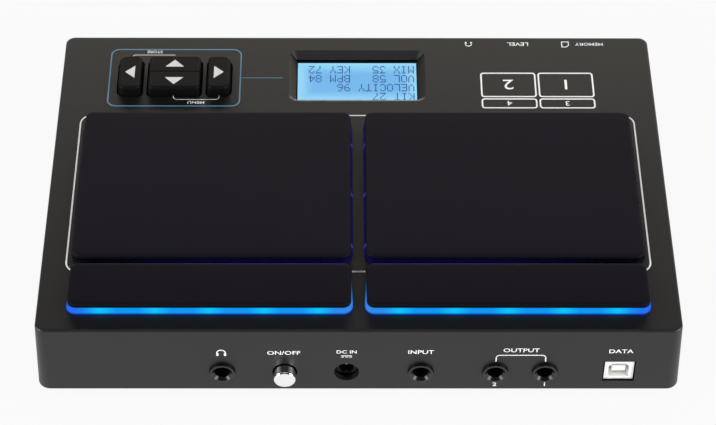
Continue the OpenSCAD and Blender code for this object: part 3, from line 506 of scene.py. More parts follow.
@dataclass(frozen=True)
class BoardLacquer(Finish):
    """Circuit board lacquer over copper tracks."""

    colour: Colour = (0.008, 0.09, 0.03)
    track: float = 1.6
    track_gap: float = 0.08
    ripple: float = 3
    roughness: float = 0.35
    colour_swing: float = 0.35
    gloss_swing: float = 0.08

    def wire(self, wiring: Wiring) -> None:
        """Adds the tracks and the lacquer's ripple.

        Args:
            wiring: The material that they go into.
        """
        tracks = wiring.bricks(self.track, self.track_gap)
        wiring.tint(tracks.outputs["Fac"], self.colour, self.colour_swing)
        wiring.gloss(wiring.noise(self.ripple), self.roughness, self.gloss_swing)


@dataclass(frozen=True)
class Skirt(Finish):
    """Smooth moulded skirt around a pad."""

    MOTTLE, RIPPLE = 2, 1.5
    ROUGHNESS, GLOSS_SWING, COLOUR_SWING = 0.3, 0.05, 0.1

    def coat(self, wiring: Wiring, colour: Colour, specular: float) -> None:
        """Adds the skin that both kinds of skirt have.

        Args:
            wiring: The material that it goes into.
            colour: Colour of the plastic.
            specular: How much it shines.
        """
        wiring.tint(wiring.noise(self.MOTTLE), colour, self.COLOUR_SWING)
        wiring.gloss(wiring.noise(self.RIPPLE), self.ROUGHNESS, self.GLOSS_SWING)
        wiring.settle(Specular_IOR_Level=specular)


@dataclass(frozen=True)
class LitGuide(Skirt):
    """Clear skirt lit from below by a row of blue lamps."""

    foot_z: float
    foot_h: float = 1
    lamp_first: float = 16.5
    lamp_pitch: float = 22.2
    lamp_core: float = 0.02
    lamp_reach: float = 0.3
    lit_from: float = 16.5
    lit_to: float = 105.3
    end_fade: float = 13
    side: float = 60
    inner_arm: Point = (62, 80)
    outer_arm: Point = (72, 80)
    hot: Colour = (0.0, 0.53, 0.95)
    between: Colour = (0.0, 0.3, 0.86)
    inner_end: Colour = (0.025, 0.24, 0.76)
    outer_end: Colour = (0.012, 0.14, 0.86)
    foot: Colour = (0.0, 0.03, 0.5)
    dark: Colour = (0.0, 0.002, 0.05)
    colour: Colour = (0.002, 0.008, 0.02)
    specular: float = 0.1

    def wire(self, wiring: Wiring) -> None:
        """Adds the row of lamps, its ends, the darker foot and the fading arms.

        Args:
            wiring: The material that they go into.
        """
        along = wiring.maths("ABSOLUTE", wiring.axis("X"))
        off_lamp = wiring.off_beat(along, self.lamp_first, self.lamp_pitch)
        row = wiring.ramp(off_lamp, (self.lamp_core, self.hot), (self.lamp_reach, self.between))
        inner = wiring.fade(along, (self.lit_from - self.end_fade, self.lit_from), (1, 0))
        outer = wiring.fade(along, (self.lit_to, self.lit_to + self.end_fade), (0, 1))
        ended = wiring.mix(outer, wiring.mix(inner, row, self.inner_end), self.outer_end)
        low = wiring.fade(wiring.axis("Z"), (self.foot_z, self.foot_z + self.foot_h), (1, 0))
        footed = wiring.mix(low, ended, self.foot)
        reach = wiring.axis("Y")
        inner_fade = wiring.fade(reach, self.inner_arm, (1, 0))
        outer_fade = wiring.fade(reach, self.outer_arm, (1, 0))
        is_outer = wiring.maths("GREATER_THAN", along, self.side * MM)
        fade = wiring.maths("MAXIMUM", inner_fade, wiring.maths("MULTIPLY", is_outer, outer_fade))
        wiring.shine(wiring.mix(fade, footed, self.dark))
        self.coat(wiring, self.colour, self.specular)


@dataclass(frozen=True)
class SmokedGuide(Skirt):
    """Dark skirt through which a few blue lamps show as small spots."""

    spot_y: float
    spot_pitch: float = 29.4
    spot_core: float = 0.26
    spot_r: float = 1.3
    centre_x: float = 6.5
    rear_from: float = 51
    rear_y: float = 53
    row_from: float = 112
    row_to: float = 40
    row_share: float = 0.45
    colour: Colour = (0.002, 0.002, 0.004)
    spot: Colour = (0.03, 0.035, 0.36)
    glow: Colour = (0.002, 0.001, 0.05)
    specular: float = 0.2

    def wire(self, wiring: Wiring) -> None:
        """Adds the spots and the haze around them.

        Args:
            wiring: The material that they go into.
        """
        reach = wiring.axis("Y")
        off_spot = wiring.off_beat(reach, self.spot_y, self.spot_pitch)
        distance = wiring.maths("MULTIPLY", off_spot, self.spot_pitch * MM)
        near_spot = wiring.fade(distance, (self.spot_core, self.spot_r), (1, 0))
        across = wiring.maths("ABSOLUTE", wiring.axis("X"))
        inside = wiring.maths("LESS_THAN", across, self.centre_x * MM)
        behind = wiring.fade(reach, (self.rear_from, self.rear_y), (0, self.row_share))
        inward = wiring.fade(across, (self.row_to, self.row_from), (1, 0))
        lined = wiring.maths("MAXIMUM", inside, wiring.maths("MULTIPLY", behind, inward))
        haze = wiring.ramp(lined, (0, BLACK), (1, self.glow))
        wiring.shine(wiring.mix(wiring.maths("MULTIPLY", near_spot, inside), haze, self.spot))
        self.coat(wiring, self.colour, self.specular)


@dataclass(frozen=True)
class Lamp(Finish):
    """A small surface that is lit, such as a lamp or a dot of the display."""

    colour: Colour = (0.05, 0.3, 1.0)
    strength: float = 0.6
    mottle: float = 1
    mottle_span: Point = (0.3, 0.7)
    flare: float = 1.2
    unlit_share: float = 0.1
    colour_swing: float = 0.1
    roughness: float = 0.4

    def wire(self, wiring: Wiring) -> None:
        """Adds the light and the colour that it has unlit.

        Args:
            wiring: The material that they go into.
        """
        bright = tuple(min(1.0, part) for part in scaled(self.colour, self.flare))
        mottle = wiring.noise(self.mottle)
        light = wiring.ramp(mottle, *zip(self.mottle_span, (self.colour, bright)))
        wiring.shine(light, self.strength)
        wiring.tint(mottle, scaled(self.colour, self.unlit_share), self.colour_swing)
        wiring.settle(Roughness=self.roughness)


@dataclass(frozen=True)
class DisplayGlow(Finish):
    """Lit display whose backlight is paler near its edges, with a fine dot grid."""

    middle: Point
    half: Point
    edge: float = 8
    dot: float = 0.55
    dot_gap: float = 0.03
    cloud: float = 18
    cloud_span: Point = (0.3, 0.8)
    cloud_flare: float = 1.06
    colour: Colour = (0.19, 0.5, 0.86)
    pale: Colour = (0.35, 0.76, 1.0)
    grid: Colour = (0.96, 0.97, 0.98)
    unlit: Colour = (0.02, 0.05, 0.09)
    mottle: float = 10
    colour_swing: float = 0.1
    roughness: float = 0.35

    def wire(self, wiring: Wiring) -> None:
        """Adds the backlight and the dot grid.

        Args:
            wiring: The material that they go into.
        """
        reach = []
        for name, middle, half in zip("XY", self.middle, self.half):
            off = wiring.maths("ABSOLUTE", wiring.maths("SUBTRACT", wiring.axis(name), middle * MM))
            reach.append(wiring.fade(off, (half - self.edge, half), (0, 1)))
        ends = (self.colour, scaled(self.colour, self.cloud_flare))
        cloud = wiring.ramp(wiring.noise(self.cloud, detail=1), *zip(self.cloud_span, ends))
        lit = wiring.mix(wiring.maths("MAXIMUM", *reach), cloud, self.pale)
        grid = wiring.bricks(self.dot, self.dot_gap, offset=0.0)
        for name, colour in (("Color1", WHITE), ("Color2", WHITE), ("Mortar", self.grid)):
            grid.inputs[name].default_value = (*colour, 1)
        wiring.shine(wiring.mix(1.0, lit, grid.outputs["Color"], blend="MULTIPLY"))
        wiring.tint(wiring.noise(self.mottle), self.unlit, self.colour_swing)
        wiring.settle(Roughness=self.roughness)


@dataclass(frozen=True)
class ClearWindow(Finish):
    """Clear plastic with a trace of haze."""

    colour: Colour = (0.97, 0.985, 1.0)
    blotch: float = 30
    roughness: float = 0.02
    swing: float = 0.01
    bend: float = 1.49
    specular: float = 0.1

    def wire(self, wiring: Wiring) -> None:
        """Adds the haze and lets light through.

        Args:
            wiring: The material that they go into.
        """
        haze = wiring.noise(self.blotch)
        wiring.tint(haze, self.colour, self.swing)
        wiring.gloss(haze, self.roughness, self.swing)
        wiring.settle(Transmission_Weight=1.0, IOR=self.bend, Specular_IOR_Level=self.specular)


@dataclass(frozen=True)
class PaleFloor(Finish):
    """Plain white studio floor that is lit a little from below."""

    colour: Colour = (0.04, 0.04, 0.04)
    cloud: float = 600
    swing: float = 0.01
    roughness: float = 0.9
    glow: float = 0.92

    def wire(self, wiring: Wiring) -> None:
        """Adds the floor's faint clouds and its light.

        Args:
            wiring: The material that they go into.
        """
        wiring.tint(wiring.noise(self.cloud), self.colour, self.swing)
        wiring.settle(Roughness=self.roughness, Specular_IOR_Level=0.0)
        wiring.settle(Emission_Color=(*WHITE, 1), Emission_Strength=self.glow)


CASE_BLACK = MouldedPlastic("case_black", (0.0034, 0.0033, 0.0037), roughness=0.42)
BASE_BLACK = MouldedPlastic("base_black", (0.012, 0.012, 0.013), roughness=0.5)
KEY_BLACK = MouldedPlastic("key_black", (0.0036, 0.0036, 0.0038), roughness=0.5, specular=0.1, grain=0.3)
SOCKET_BLACK = MouldedPlastic("socket_black", (0.004, 0.004, 0.0042), roughness=0.22)
DIAL_BLACK = MouldedPlastic("dial_black", (0.006, 0.006, 0.006), roughness=0.45)
POT_GREY = MouldedPlastic("pot_grey", (0.05, 0.052, 0.056), roughness=0.4)
SWITCH_WHITE = MouldedPlastic("switch_white", (0.6, 0.59, 0.56), roughness=0.45)
CORE_WHITE = MouldedPlastic("core_white", (0.88, 0.88, 0.85), roughness=0.45)
RIBBON_GREY = MouldedPlastic("ribbon_grey", (0.3, 0.31, 0.33), roughness=0.5)
FRAME_BLACK = MouldedPlastic("frame_black", (0.003, 0.003, 0.004), roughness=0.5, specular=0.2)
PAD_RUBBER = Rubber("pad_rubber", (0.0036, 0.003, 0.0066), specular=0.095)
FOOT_RUBBER = Rubber("foot_rubber", (0.01, 0.01, 0.01), roughness=0.8)
PAD_FOAM = Foam("pad_foam", (0.03, 0.03, 0.032))
TIN = Metal("tin", (0.9, 0.9, 0.88), roughness=0.3)
CHROME = Metal("chrome", (0.9, 0.91, 0.92), roughness=0.07, gloss_swing=0.02)
STEEL = Metal("steel", (0.48, 0.48, 0.5), roughness=0.38)
BRASS = Metal("brass", (0.72, 0.5, 0.2), roughness=0.32)
WHITE_INK = Ink("white_ink", (0.92, 0.92, 0.91))
ARROW_INK = Ink("arrow_ink", (0.64, 0.64, 0.63))
BLUE_INK = Ink("blue_ink", (0.09, 0.25, 0.36))
CELL_BLUE = Lamp("cell_blue", (0.02, 0.07, 0.26), strength=1.0)
BOARD_GREEN = BoardLacquer("board_green")
LAMP_BLUE = Lamp("lamp_blue")
WINDOW_CLEAR = ClearWindow("window_clear")
FLOOR_WHITE = PaleFloor("floor_white")

MADE: dict[Finish, bpy.types.Material] = {}


def paint(thing: bpy.types.Object, finish: Finish) -> None:
    """Covers an object with one finish.

    Args:
        thing: The object.
        finish: Its finish, whose material is made once.
    """
    if finish not in MADE:
        MADE[finish] = finish.material()
    thing.data.materials.clear()
    thing.data.materials.append(MADE[finish])


def dress(finish: Finish, *nodes: str) -> None:
    """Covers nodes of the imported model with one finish.

    Args:
        finish: The finish.
        nodes: Names of the nodes.
    """
    for name in nodes:
        paint(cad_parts[name], finish)
        LOG.info("dressed %s in %s", name, finish.name)


def in_mm(box: Sequence[Vector]) -> list[Vector]:
    """Gives the lowest and the highest corner of a box in millimetres."""
    return [corner / MM for corner in box]


def arc(middle: Point, r: float, start: float, end: float, steps: int = 12) -> list[Point]:
    """Follows part of a circle.

    Args:
        middle: Its centre.
        r: Its radius.
        start: Where it starts, in degrees.
        end: Where it ends, in degrees.
        steps: Number of its edges.

    Returns:
        Its points in order.
    """
    turns = [math.radians(start + (end - start) * step / steps) for step in range(steps + 1)]
    return [(middle[0] + r * math.cos(turn), middle[1] + r * math.sin(turn)) for turn in turns]


def rounded_rectangle(w: float, d: float, r: float, middle: Point = (0, 0), steps: int = 8) -> list[Point]:
    """Outlines a rectangle with round corners.

    Args:
        w: Its width.
        d: Its depth.
        r: Radius of its corners.
        middle: Where its middle lies.
        steps: Number of edges in each corner.

    Returns:
        Its points, counterclockwise.
    """
    points = []
    for quarter, (sx, sy) in enumerate(((1, 1), (-1, 1), (-1, -1), (1, -1))):
        corner = (middle[0] + sx * (w / 2 - r), middle[1] + sy * (d / 2 - r))
        points += arc(corner, r, 90 * quarter, 90 * (quarter + 1), steps)
    return points


def loft(bm: bmesh.types.BMesh, rings: Sequence[Sequence[Sequence[float]]], loop: bool = False) -> None:
    """Adds a closed skin through rings of points.

    Args:
        bm: The mesh to add to.
        rings: Rings of as many points each.
        loop: Whether the last ring joins the first; otherwise both ends are closed.
    """
    made = [[bm.verts.new(point) for point in ring] for ring in rings]
    count = len(made[0])
    pairs = list(zip(made, made[1:]))
    if loop:
        pairs.append((made[-1], made[0]))
    else:
        bm.faces.new(made[0])
        bm.faces.new(made[-1])
    for low, high in pairs:
        for i in range(count):
            j = (i + 1) % count
            bm.faces.new((low[i], low[j], high[j], high[i]))


def link(name: str, data: bpy.types.ID) -> bpy.types.Object:
    """Adds an object to the scene.

    Args:
        name: Its name.
        data: Its mesh, light or camera.

    Returns:
        The object.
    """
    made = bpy.data.objects.new(name, data)
    bpy.context.scene.collection.objects.link(made)
    return made


def build(name: str, bm: bmesh.types.BMesh, finish: Finish, body: str) -> bpy.types.Object:
    """Turns a mesh in millimetres into a piece that rides on a body.

    Args:
        name: Name of the piece.
        bm: Its mesh, which is used up.
        finish: Its finish.
        body: The body that it rides on.

    Returns:
        The piece.
    """
    bmesh.ops.recalc_face_normals(bm, faces=bm.faces)
    bmesh.ops.scale(bm, vec=(MM, MM, MM), verts=bm.verts)
    mesh = bpy.data.meshes.new(name)
    bm.to_mesh(mesh)
    bm.free()
    mesh.shade_smooth()
    mesh.set_sharp_from_angle(angle=math.radians(SHARP_ANGLE))
    piece = link(name, mesh)
    paint(piece, finish)
    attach(piece, body)
    LOG.info("built %s on %s: %d faces", name, body, len(mesh.polygons))
    return piece


def facing(origin: Sequence[float], right: Triple = (1, 0, 0), up: Triple = (0, 1, 0)) -> Matrix:
    """Makes the frame of a flat face, which lies level unless directions are given.

    Args:
        origin: Its origin.
        right: Direction that reads to the right.
        up: Direction that reads upwards.

    Returns:
        The matrix from the face to the part.
    """
    x, y = Vector(right).normalized(), Vector(up).normalized()
    columns = Matrix((x, y, x.cross(y))).transposed()
    return Matrix.Translation(origin) @ columns.to_4x4()


@dataclass(frozen=True)
class Word:
    """A printed word or number, by its middle, the height of its capitals and its stretch."""

    text: str
    at: Point
    height: float = 2.3
    stretch: float = 1.2


class Print:
    """Thin closed solids of ink on one flat face."""

    SUNK = 0.01
    PROUD = 0.04
    BOLD = 0.02
    CAPITAL_SHARE = 0.73
    CURVE_STEPS = 3
    WELD = 0.0005
    SHARPEST_MITRE = 0.5

    def __init__(self, face: Matrix) -> None:
        """Starts an empty print.

        Args:
            face: Frame of the face, in millimetres.
        """
        self.face = face
        self.bm = bmesh.new()

    def fill(self, outline: Sequence[Point]) -> None:
        """Adds a filled shape with the points of an outline."""
        loft(self.bm, [[self.face @ Vector((x, y, z)) for x, y in outline] for z in (-self.SUNK, self.PROUD)])

    def line(self, path: Sequence[Point], width: float, closed: bool = False) -> None:
        """Adds a stroke.

        Args:
            path: Points that it follows.
            width: Its width.
            closed: Whether its end joins its start.
        """
        points = [Vector(point) for point in path]
        count = len(points)
        rings = []
        for i, point in enumerate(points):
            before = points[i - 1] if closed or i > 0 else None
            after = points[(i + 1) % count] if closed or i < count - 1 else None
            ways = [w.normalized() for w in (before and point - before, after and after - point) if w]
            along = sum(ways, Vector((0, 0))).normalized()
            half = width / 2 / max(self.SHARPEST_MITRE, along.dot(ways[0]))
            side = Vector((-along.y, along.x)) * half
            corners = ((point + side, -self.SUNK), (point - side, -self.SUNK),
                       (point - side, self.PROUD), (point + side, self.PROUD))
            rings.append([self.face @ Vector((*flat, z)) for flat, z in corners])
        loft(self.bm, rings, loop=closed)

    def bracket(self, span: Point, top: float, foot: float, r: float, width: float) -> None:
        """Adds a bracket with two legs and round corners.

        Args:
            span: Where its legs stand.
            top: Height of its bar.
            foot: Height at which its legs end.
            r: Radius of its corners.
            width: Width of its stroke.
        """
        left, right = span
        corners = [*arc((left + r, top - r), r, 180, 90), *arc((right - r, top - r), r, 90, 0)]
        self.line([(left, foot), *corners, (right, foot)], width)

    def headphones(self, middle: Point, height: float) -> None:
        """Adds a headphone sign.

        Args:
            middle: Where its middle lies.
            height: Its height.
        """
        x, y = middle
        band_r, band_w = 0.46 * height, 0.13 * height
        cup_w, cup_h, cup_r = 0.26 * height, 0.46 * height, 0.1 * height
        base = y - 0.04 * height
        band_end, cup_y = base - 0.2 * height, base - 0.23 * height
        band = [(x + band_r, band_end), *arc((x, base), band_r, 0, 180), (x - band_r, band_end)]
        self.line(band, band_w)
        for side in (-1, 1):
            cup_x = x + side * 0.9 * band_r
            self.fill(rounded_rectangle(cup_w, cup_h, cup_r, (cup_x, cup_y), steps=3))

    def letters(self, word: Word) -> None:
        """Adds a word or a number.

        Args:
            word: What it says, where, and how large.
        """
        curve = bpy.data.curves.new("letters", "FONT")
        curve.body = word.text
        curve.size = word.height / self.CAPITAL_SHARE
        curve.align_x = "CENTER"
        curve.offset = self.BOLD
        curve.extrude = (self.SUNK + self.PROUD) / 2
        curve.resolution_u = self.CURVE_STEPS
        holder = bpy.data.objects.new("letters", curve)
        mesh = bpy.data.meshes.new_from_object(holder)
        x, y = word.at
        place = Matrix.Translation((x, y - word.height / 2, (self.PROUD - self.SUNK) / 2))
        mesh.transform(self.face @ place @ Matrix.Diagonal((word.stretch, 1, 1, 1)))
        self.bm.from_mesh(mesh)
        bmesh.ops.remove_doubles(self.bm, verts=self.bm.verts, dist=self.WELD)
        bpy.data.objects.remove(holder)
        bpy.data.curves.remove(curve)
        bpy.data.meshes.remove(mesh)

    def piece(self, name: str, finish: Finish, body: str = "case", slot: str = "case") -> bpy.types.Object:
        """Ends the print and gives its piece, with its ink and body."""
        return build(name, self.bm, finish, body)


@dataclass(frozen=True)
class Layout:
    """Places that the sub-assemblies share, in millimetres."""

    centre_y: float
    panel_z: float
    half_d: float
    case_h: float
    wall_flare: float = 1.25

    @classmethod
    def from_frame(cls) -> "Layout":
        """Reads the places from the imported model.

        Returns:
            The layout.
        """
        low, high = in_mm(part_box("top_shell"))
        panel_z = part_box("pad_foam_front_left")[0].z / MM
        return cls(
            centre_y=(low.y + high.y) / 2,
            panel_z=panel_z,
            half_d=(high.y - low.y) / 2 - cls.wall_flare,
            case_h=panel_z - low.z)

    def panel(self) -> Matrix:
        """Gives the top panel's face, which reads from the player's side."""
        return facing((0, self.centre_y, self.panel_z))

    def rear_wall(self) -> Matrix:
        """Gives the rear wall's face, which reads from behind, with its origin at the panel's edge."""
        origin = (0, self.centre_y + self.half_d, self.panel_z)
        return facing(origin, (-1, 0, 0), (0, -self.wall_flare, self.case_h))


@dataclass
class Assembly:
    """A sub-assembly that is placed by the shared layout."""

    layout: Layout

    def build(self) -> None:
        """Builds and dresses everything in the sub-assembly."""
        raise NotImplementedError


@dataclass(frozen=True)
class Softbox:
    """A soft rectangular light that faces the part."""

    name: str
    at: Triple
    size: Point
    power: float
    colour: Colour

    def on_side(self, name: str, side: int) -> "Softbox":
        """Gives a copy for one side of the part, with that side's name first."""
        return replace(self, name=f"{name}_{self.name}", at=(side * self.at[0], *self.at[1:]))

    def hang(self) -> None:
        """Adds the light to the scene."""
        light = bpy.data.lights.new(self.name, "AREA")
        light.shape = "RECTANGLE"
        light.size, light.size_y = self.size[0] * MM, self.size[1] * MM
        light.energy = self.power
        light.color = self.colour
        lamp = link(self.name, light)
        lamp.location = Vector(self.at) * MM
        lamp.rotation_euler = Vector(self.at).to_track_quat("Z", "Y").to_euler()


@dataclass
class Studio(Assembly):
    """Floor, lights and camera."""

    floor_side: float = 14000
    far_box: Softbox = Softbox("far_softbox", (-120, -2100, 620), (2850, 1200), 40, (1.0, 0.92, 0.835))
    top_box: Softbox = Softbox("top_softbox", (0, 600, 2300), (1400, 1000), 4, (1.0, 0.97, 1.0))
    side_boxes: tuple[Softbox, ...] = (
        Softbox("softbox", (2210, 650, 1200), (1400, 1400), 52, (0.97, 0.98, 1.0)),
        Softbox("strip", (1900, 1500, 450), (1400, 800), 24, (0.97, 0.98, 1.0)))
    room: float = 0.05
    backdrop: float = 0.8
    camera_at: Triple = (8.617, 725.12, 788.24)
    camera_tilt: float = 0.8168
    camera_yaw: float = 0.0121
    camera_roll: float = -0.0095
    camera_clip: Point = (50, 50000)
    lens: float = 122.22
    sensor: float = 36

    def build(self) -> None:
        """Sets up the whole studio."""
        self.add_floor()
        self.add_room()
        self.far_box.hang()
        self.top_box.hang()
        for name, side in (("left", 1), ("right", -1)):
            for box in self.side_boxes:
                box.on_side(name, side).hang()
        self.add_camera()

    def add_floor(self) -> None:
        """Lays a large pale floor at the part's feet."""
        bm = bmesh.new()
        bmesh.ops.create_grid(bm, x_segments=2, y_segments=2, size=self.floor_side * MM / 2)
        mesh = bpy.data.meshes.new("floor")
        bm.to_mesh(mesh)
        bm.free()
        floor = link("floor", mesh)
        paint(floor, FLOOR_WHITE)

    def add_room(self) -> None:
        """Gives a dim room with a pale backdrop."""
        world = bpy.data.worlds.new("room")
        world.use_nodes = True
        tree = world.node_tree
        dim, pale = tree.nodes["Background"], tree.nodes.new("ShaderNodeBackground")
        for light, strength in ((dim, self.room), (pale, self.backdrop)):
            light.inputs["Color"].default_value = (*WHITE, 1)
            light.inputs["Strength"].default_value = strength
        path = tree.nodes.new("ShaderNodeLightPath")
        mix = tree.nodes.new("ShaderNodeMixShader")
        sources = (path.outputs["Is Camera Ray"], dim.outputs[0], pale.outputs[0])
        for source, target in zip(sources, mix.inputs):
            tree.links.new(source, target)
        tree.links.new(mix.outputs[0], tree.nodes["World Output"].inputs["Surface"])
        bpy.context.scene.world = world
        bpy.context.scene.view_settings.view_transform = "Standard"

    def add_camera(self) -> None:
        """Puts the camera where the photograph was taken, behind and above the part."""
        tilt, yaw, roll = self.camera_tilt, self.camera_yaw, self.camera_roll
        forward = Vector((-math.sin(yaw) * math.cos(tilt), -math.cos(yaw) * math.cos(tilt), -math.sin(tilt)))
        level = Vector((-math.cos(yaw), math.sin(yaw), 0))
        down = forward.cross(level)
        right = math.cos(roll) * level + math.sin(roll) * down
        up = math.sin(roll) * level - math.cos(roll) * down
        data = bpy.data.cameras.new("camera")
        data.lens = self.lens
        data.sensor_width = self.sensor
        data.clip_start, data.clip_end = self.camera_clip[0] * MM, self.camera_clip[1] * MM
        camera = link("camera", data)
        turned = Matrix((right, up, -forward)).transposed().to_4x4()
        place = Vector(self.camera_at) + Vector((0, self.layout.centre_y, 0))
        camera.matrix_world = Matrix.Translation(place * MM) @ turned
        bpy.context.scene.camera = camera


@dataclass
class Case(Assembly):
    """Case, feet, inserts and screws."""

    head_r: float = 2.7
    head_h: float = 1.8
    shank_r: float = 1.25
    shank_l: float = 8
    recess_w: float = 0.42
    recess_l: float = 1.5
    recess_depth: float = 1.1
    recess_taper: float = 0.45
    screw_steps: int = 48
    weld: float = 0.01

    def build(self) -> None:
        """Dresses the case and builds its screws."""
        dress(CASE_BLACK, "top_shell")
        dress(BASE_BLACK, "bottom_plate")
        dress(FOOT_RUBBER, "rubber_feet")
        dress(BRASS, "stand_inserts")
        self.add_screws()

    def screw_places(self) -> list[Vector]:
        """Finds where each screw's head ends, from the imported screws.

        Returns:
            The middle of each head's lower face.
        """
        bm = bmesh.new()
        bm.from_mesh(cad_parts["screws"].data)
        bmesh.ops.remove_doubles(bm, verts=bm.verts, dist=self.weld * MM)
        left = set(bm.verts)
        places = []
        while left:
            grown, edge = set(), [left.pop()]
            while edge:
                vert = edge.pop()
                grown.add(vert)
                beside = [e.other_vert(vert) for e in vert.link_edges]
                edge.extend(other for other in beside if other in left)
                left.difference_update(beside)
            spans = [[v.co[axis] / MM for v in grown] for axis in range(3)]
            middle = [(min(span) + max(span)) / 2 for span in spans]
            places.append(Vector((middle[0], middle[1], min(spans[2]))))
        bm.free()
        return sorted(places, key=tuple)

    def cross(self, turn: float) -> float:
        """Gives the radius of the cross recess in a direction in radians."""
        c, s = max(abs(math.cos(turn)), TINY), max(abs(math.sin(turn)), TINY)
        return max(min(self.recess_l / c, self.recess_w / s), min(self.recess_l / s, self.recess_w / c))

    def add_screws(self) -> None:
        """Builds every screw with a cross recess in its head."""
        turns = [2 * math.pi * step / self.screw_steps for step in range(self.screw_steps)]
        recess = [self.cross(turn) for turn in turns]
        flat_r, rim_z = self.head_r - self.head_h / 3, self.head_h / 2
        bulge_r, bulge_z = self.head_r - self.head_h / 10, self.head_h / 5
        tip_r, end = self.shank_r / 3, self.head_h + self.shank_l
        turned = [
            (flat_r, 0), (bulge_r, bulge_z), (self.head_r, rim_z), (self.head_r, self.head_h),
            (self.shank_r, self.head_h), (self.shank_r, end - self.shank_r), (tip_r, end)]
        profile = [([self.recess_taper * r for r in recess], self.recess_depth), (recess, 0)]
        profile += [([r] * self.screw_steps, z) for r, z in turned]
        bm = bmesh.new()
        for place in self.screw_places():
            loft(bm, [[place + Vector((r * math.cos(t), r * math.sin(t), z)) for r, t in zip(radii, turns)]
                      for radii, z in profile])
        piece = build("screw_set", bm, STEEL, "case")
        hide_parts("screws")


@dataclass
class PadSet(Assembly):
    """Rubber covers, plates, sensors and foam of the four pads."""

    corner_r: float = 3.5
    least_r: float = 1
    plate_inset: float = 2.45
    cover_t: float = 2
    lip_edge: float = 1.1
    lip_steps: int = 6
    under_edge: float = 0.3
    crown: float = 0.12
    crown_rise: tuple[Point, ...] = ((2, 0.25), (4.5, 0.65), (8, 1))
    # Colour of the painted highlight along the rear pads' front edge.
    rim_painted_highlight: Colour = (0.006, 0.018, 0.13)
    rear_specular: float = 0.07
    strip_w: float = 30
    strip_r: float = 1.2
    strip_tuck: float = 0.25
    strip_sides: tuple[Point, ...] = ((0, 1), (0.2, 0.3), (0.5, 0), (0.8, 0.3), (1, 1))
    travel: float = 0.4

    def build(self) -> None:
        """Dresses and builds every pad."""
        for pad in Pad:
            dress(STEEL, f"pad_plate_{pad.value}")
            dress(BRASS, f"pad_sensor_{pad.value}")
            self.add_cover(pad)
            self.add_foam(pad)

    def add_cover(self, pad: Pad) -> None:
        """Builds a rubber cover with a rounded lip and a faint crown.

        Args:
            pad: Which pad it covers.
        """
        low, high = in_mm(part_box(f"pad_cover_{pad.value}"))
        middle = (low + high) / 2
        w, d = high.x - low.x, high.y - low.y
        profile = [
            (self.plate_inset, high.z - self.cover_t), (self.plate_inset, low.z),
            (self.under_edge, low.z), (0, low.z + self.under_edge)]
        profile += arc((self.lip_edge, high.z - self.lip_edge), self.lip_edge, 180, 90, self.lip_steps)
        profile += [(inset, high.z + self.crown * share) for inset, share in self.crown_rise]
        rings = []
        for inset, z in profile:
            r = max(self.corner_r - inset, self.least_r)
            flat = rounded_rectangle(w - 2 * inset, d - 2 * inset, r, (middle.x, middle.y))
            rings.append([(x, y, z) for x, y in flat])
        bm = bmesh.new()
        loft(bm, rings)
        finish = PAD_RUBBER
        # The rear pads get a copy of the same rubber that shines less, which paints them darker as shade
        # does, and that carries the painted highlight along the front edge.
        if pad.is_rear:
            finish = replace(
                PAD_RUBBER, name="rear_rubber", specular=self.rear_specular, glow=self.rim_painted_highlight, painted_highlight_y=low.y)
        piece = build(f"pad_rubber_{pad.value}", bm, finish, f"pad_{pad.value}")
        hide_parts(f"pad_cover_{pad.value}")

    def add_foam(self, pad: Pad) -> None:
        """Builds the two foam strips that a pad floats on.

        Args:
            pad: Which pad lies on them.
        """
        low, high = in_mm(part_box(f"pad_foam_{pad.value}"))
        y = (low.y + high.y) / 2
        height = high.z - low.z
        strips = (low.x + self.strip_w / 2, high.x - self.strip_w / 2)
        bm = bmesh.new()
        for x in strips:
            rings = []
            for share, tuck in self.strip_sides:
                inset = 2 * self.strip_tuck * tuck
                w, d = self.strip_w - inset, high.y - low.y - inset
                flat = rounded_rectangle(w, d, self.strip_r, (x, y), steps=4)
                rings.append([(*point, low.z + share * height) for point in flat])
            loft(bm, rings)
        piece = build(f"pad_foam_strips_{pad.value}", bm, PAD_FOAM, "case")
        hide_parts(f"pad_foam_{pad.value}")
        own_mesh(piece)


@dataclass
class Lamps(Assembly):
    """Skirts around the pads, and the lamps under them."""

    middle_spot: float = 12.7

    def build(self) -> None:
        """Dresses the skirts, lamps and their boards."""
        lit = LitGuide("guide_lit", foot_z=self.layout.panel_z)
        smoked = SmokedGuide("guide_smoked", spot_y=self.middle_spot + self.layout.centre_y)
        for pad in Pad:
            dress(lit if pad.is_rear else smoked, f"light_guide_{pad.value}")
        dress(BOARD_GREEN, "led_boards")
        dress(LAMP_BLUE, "leds")


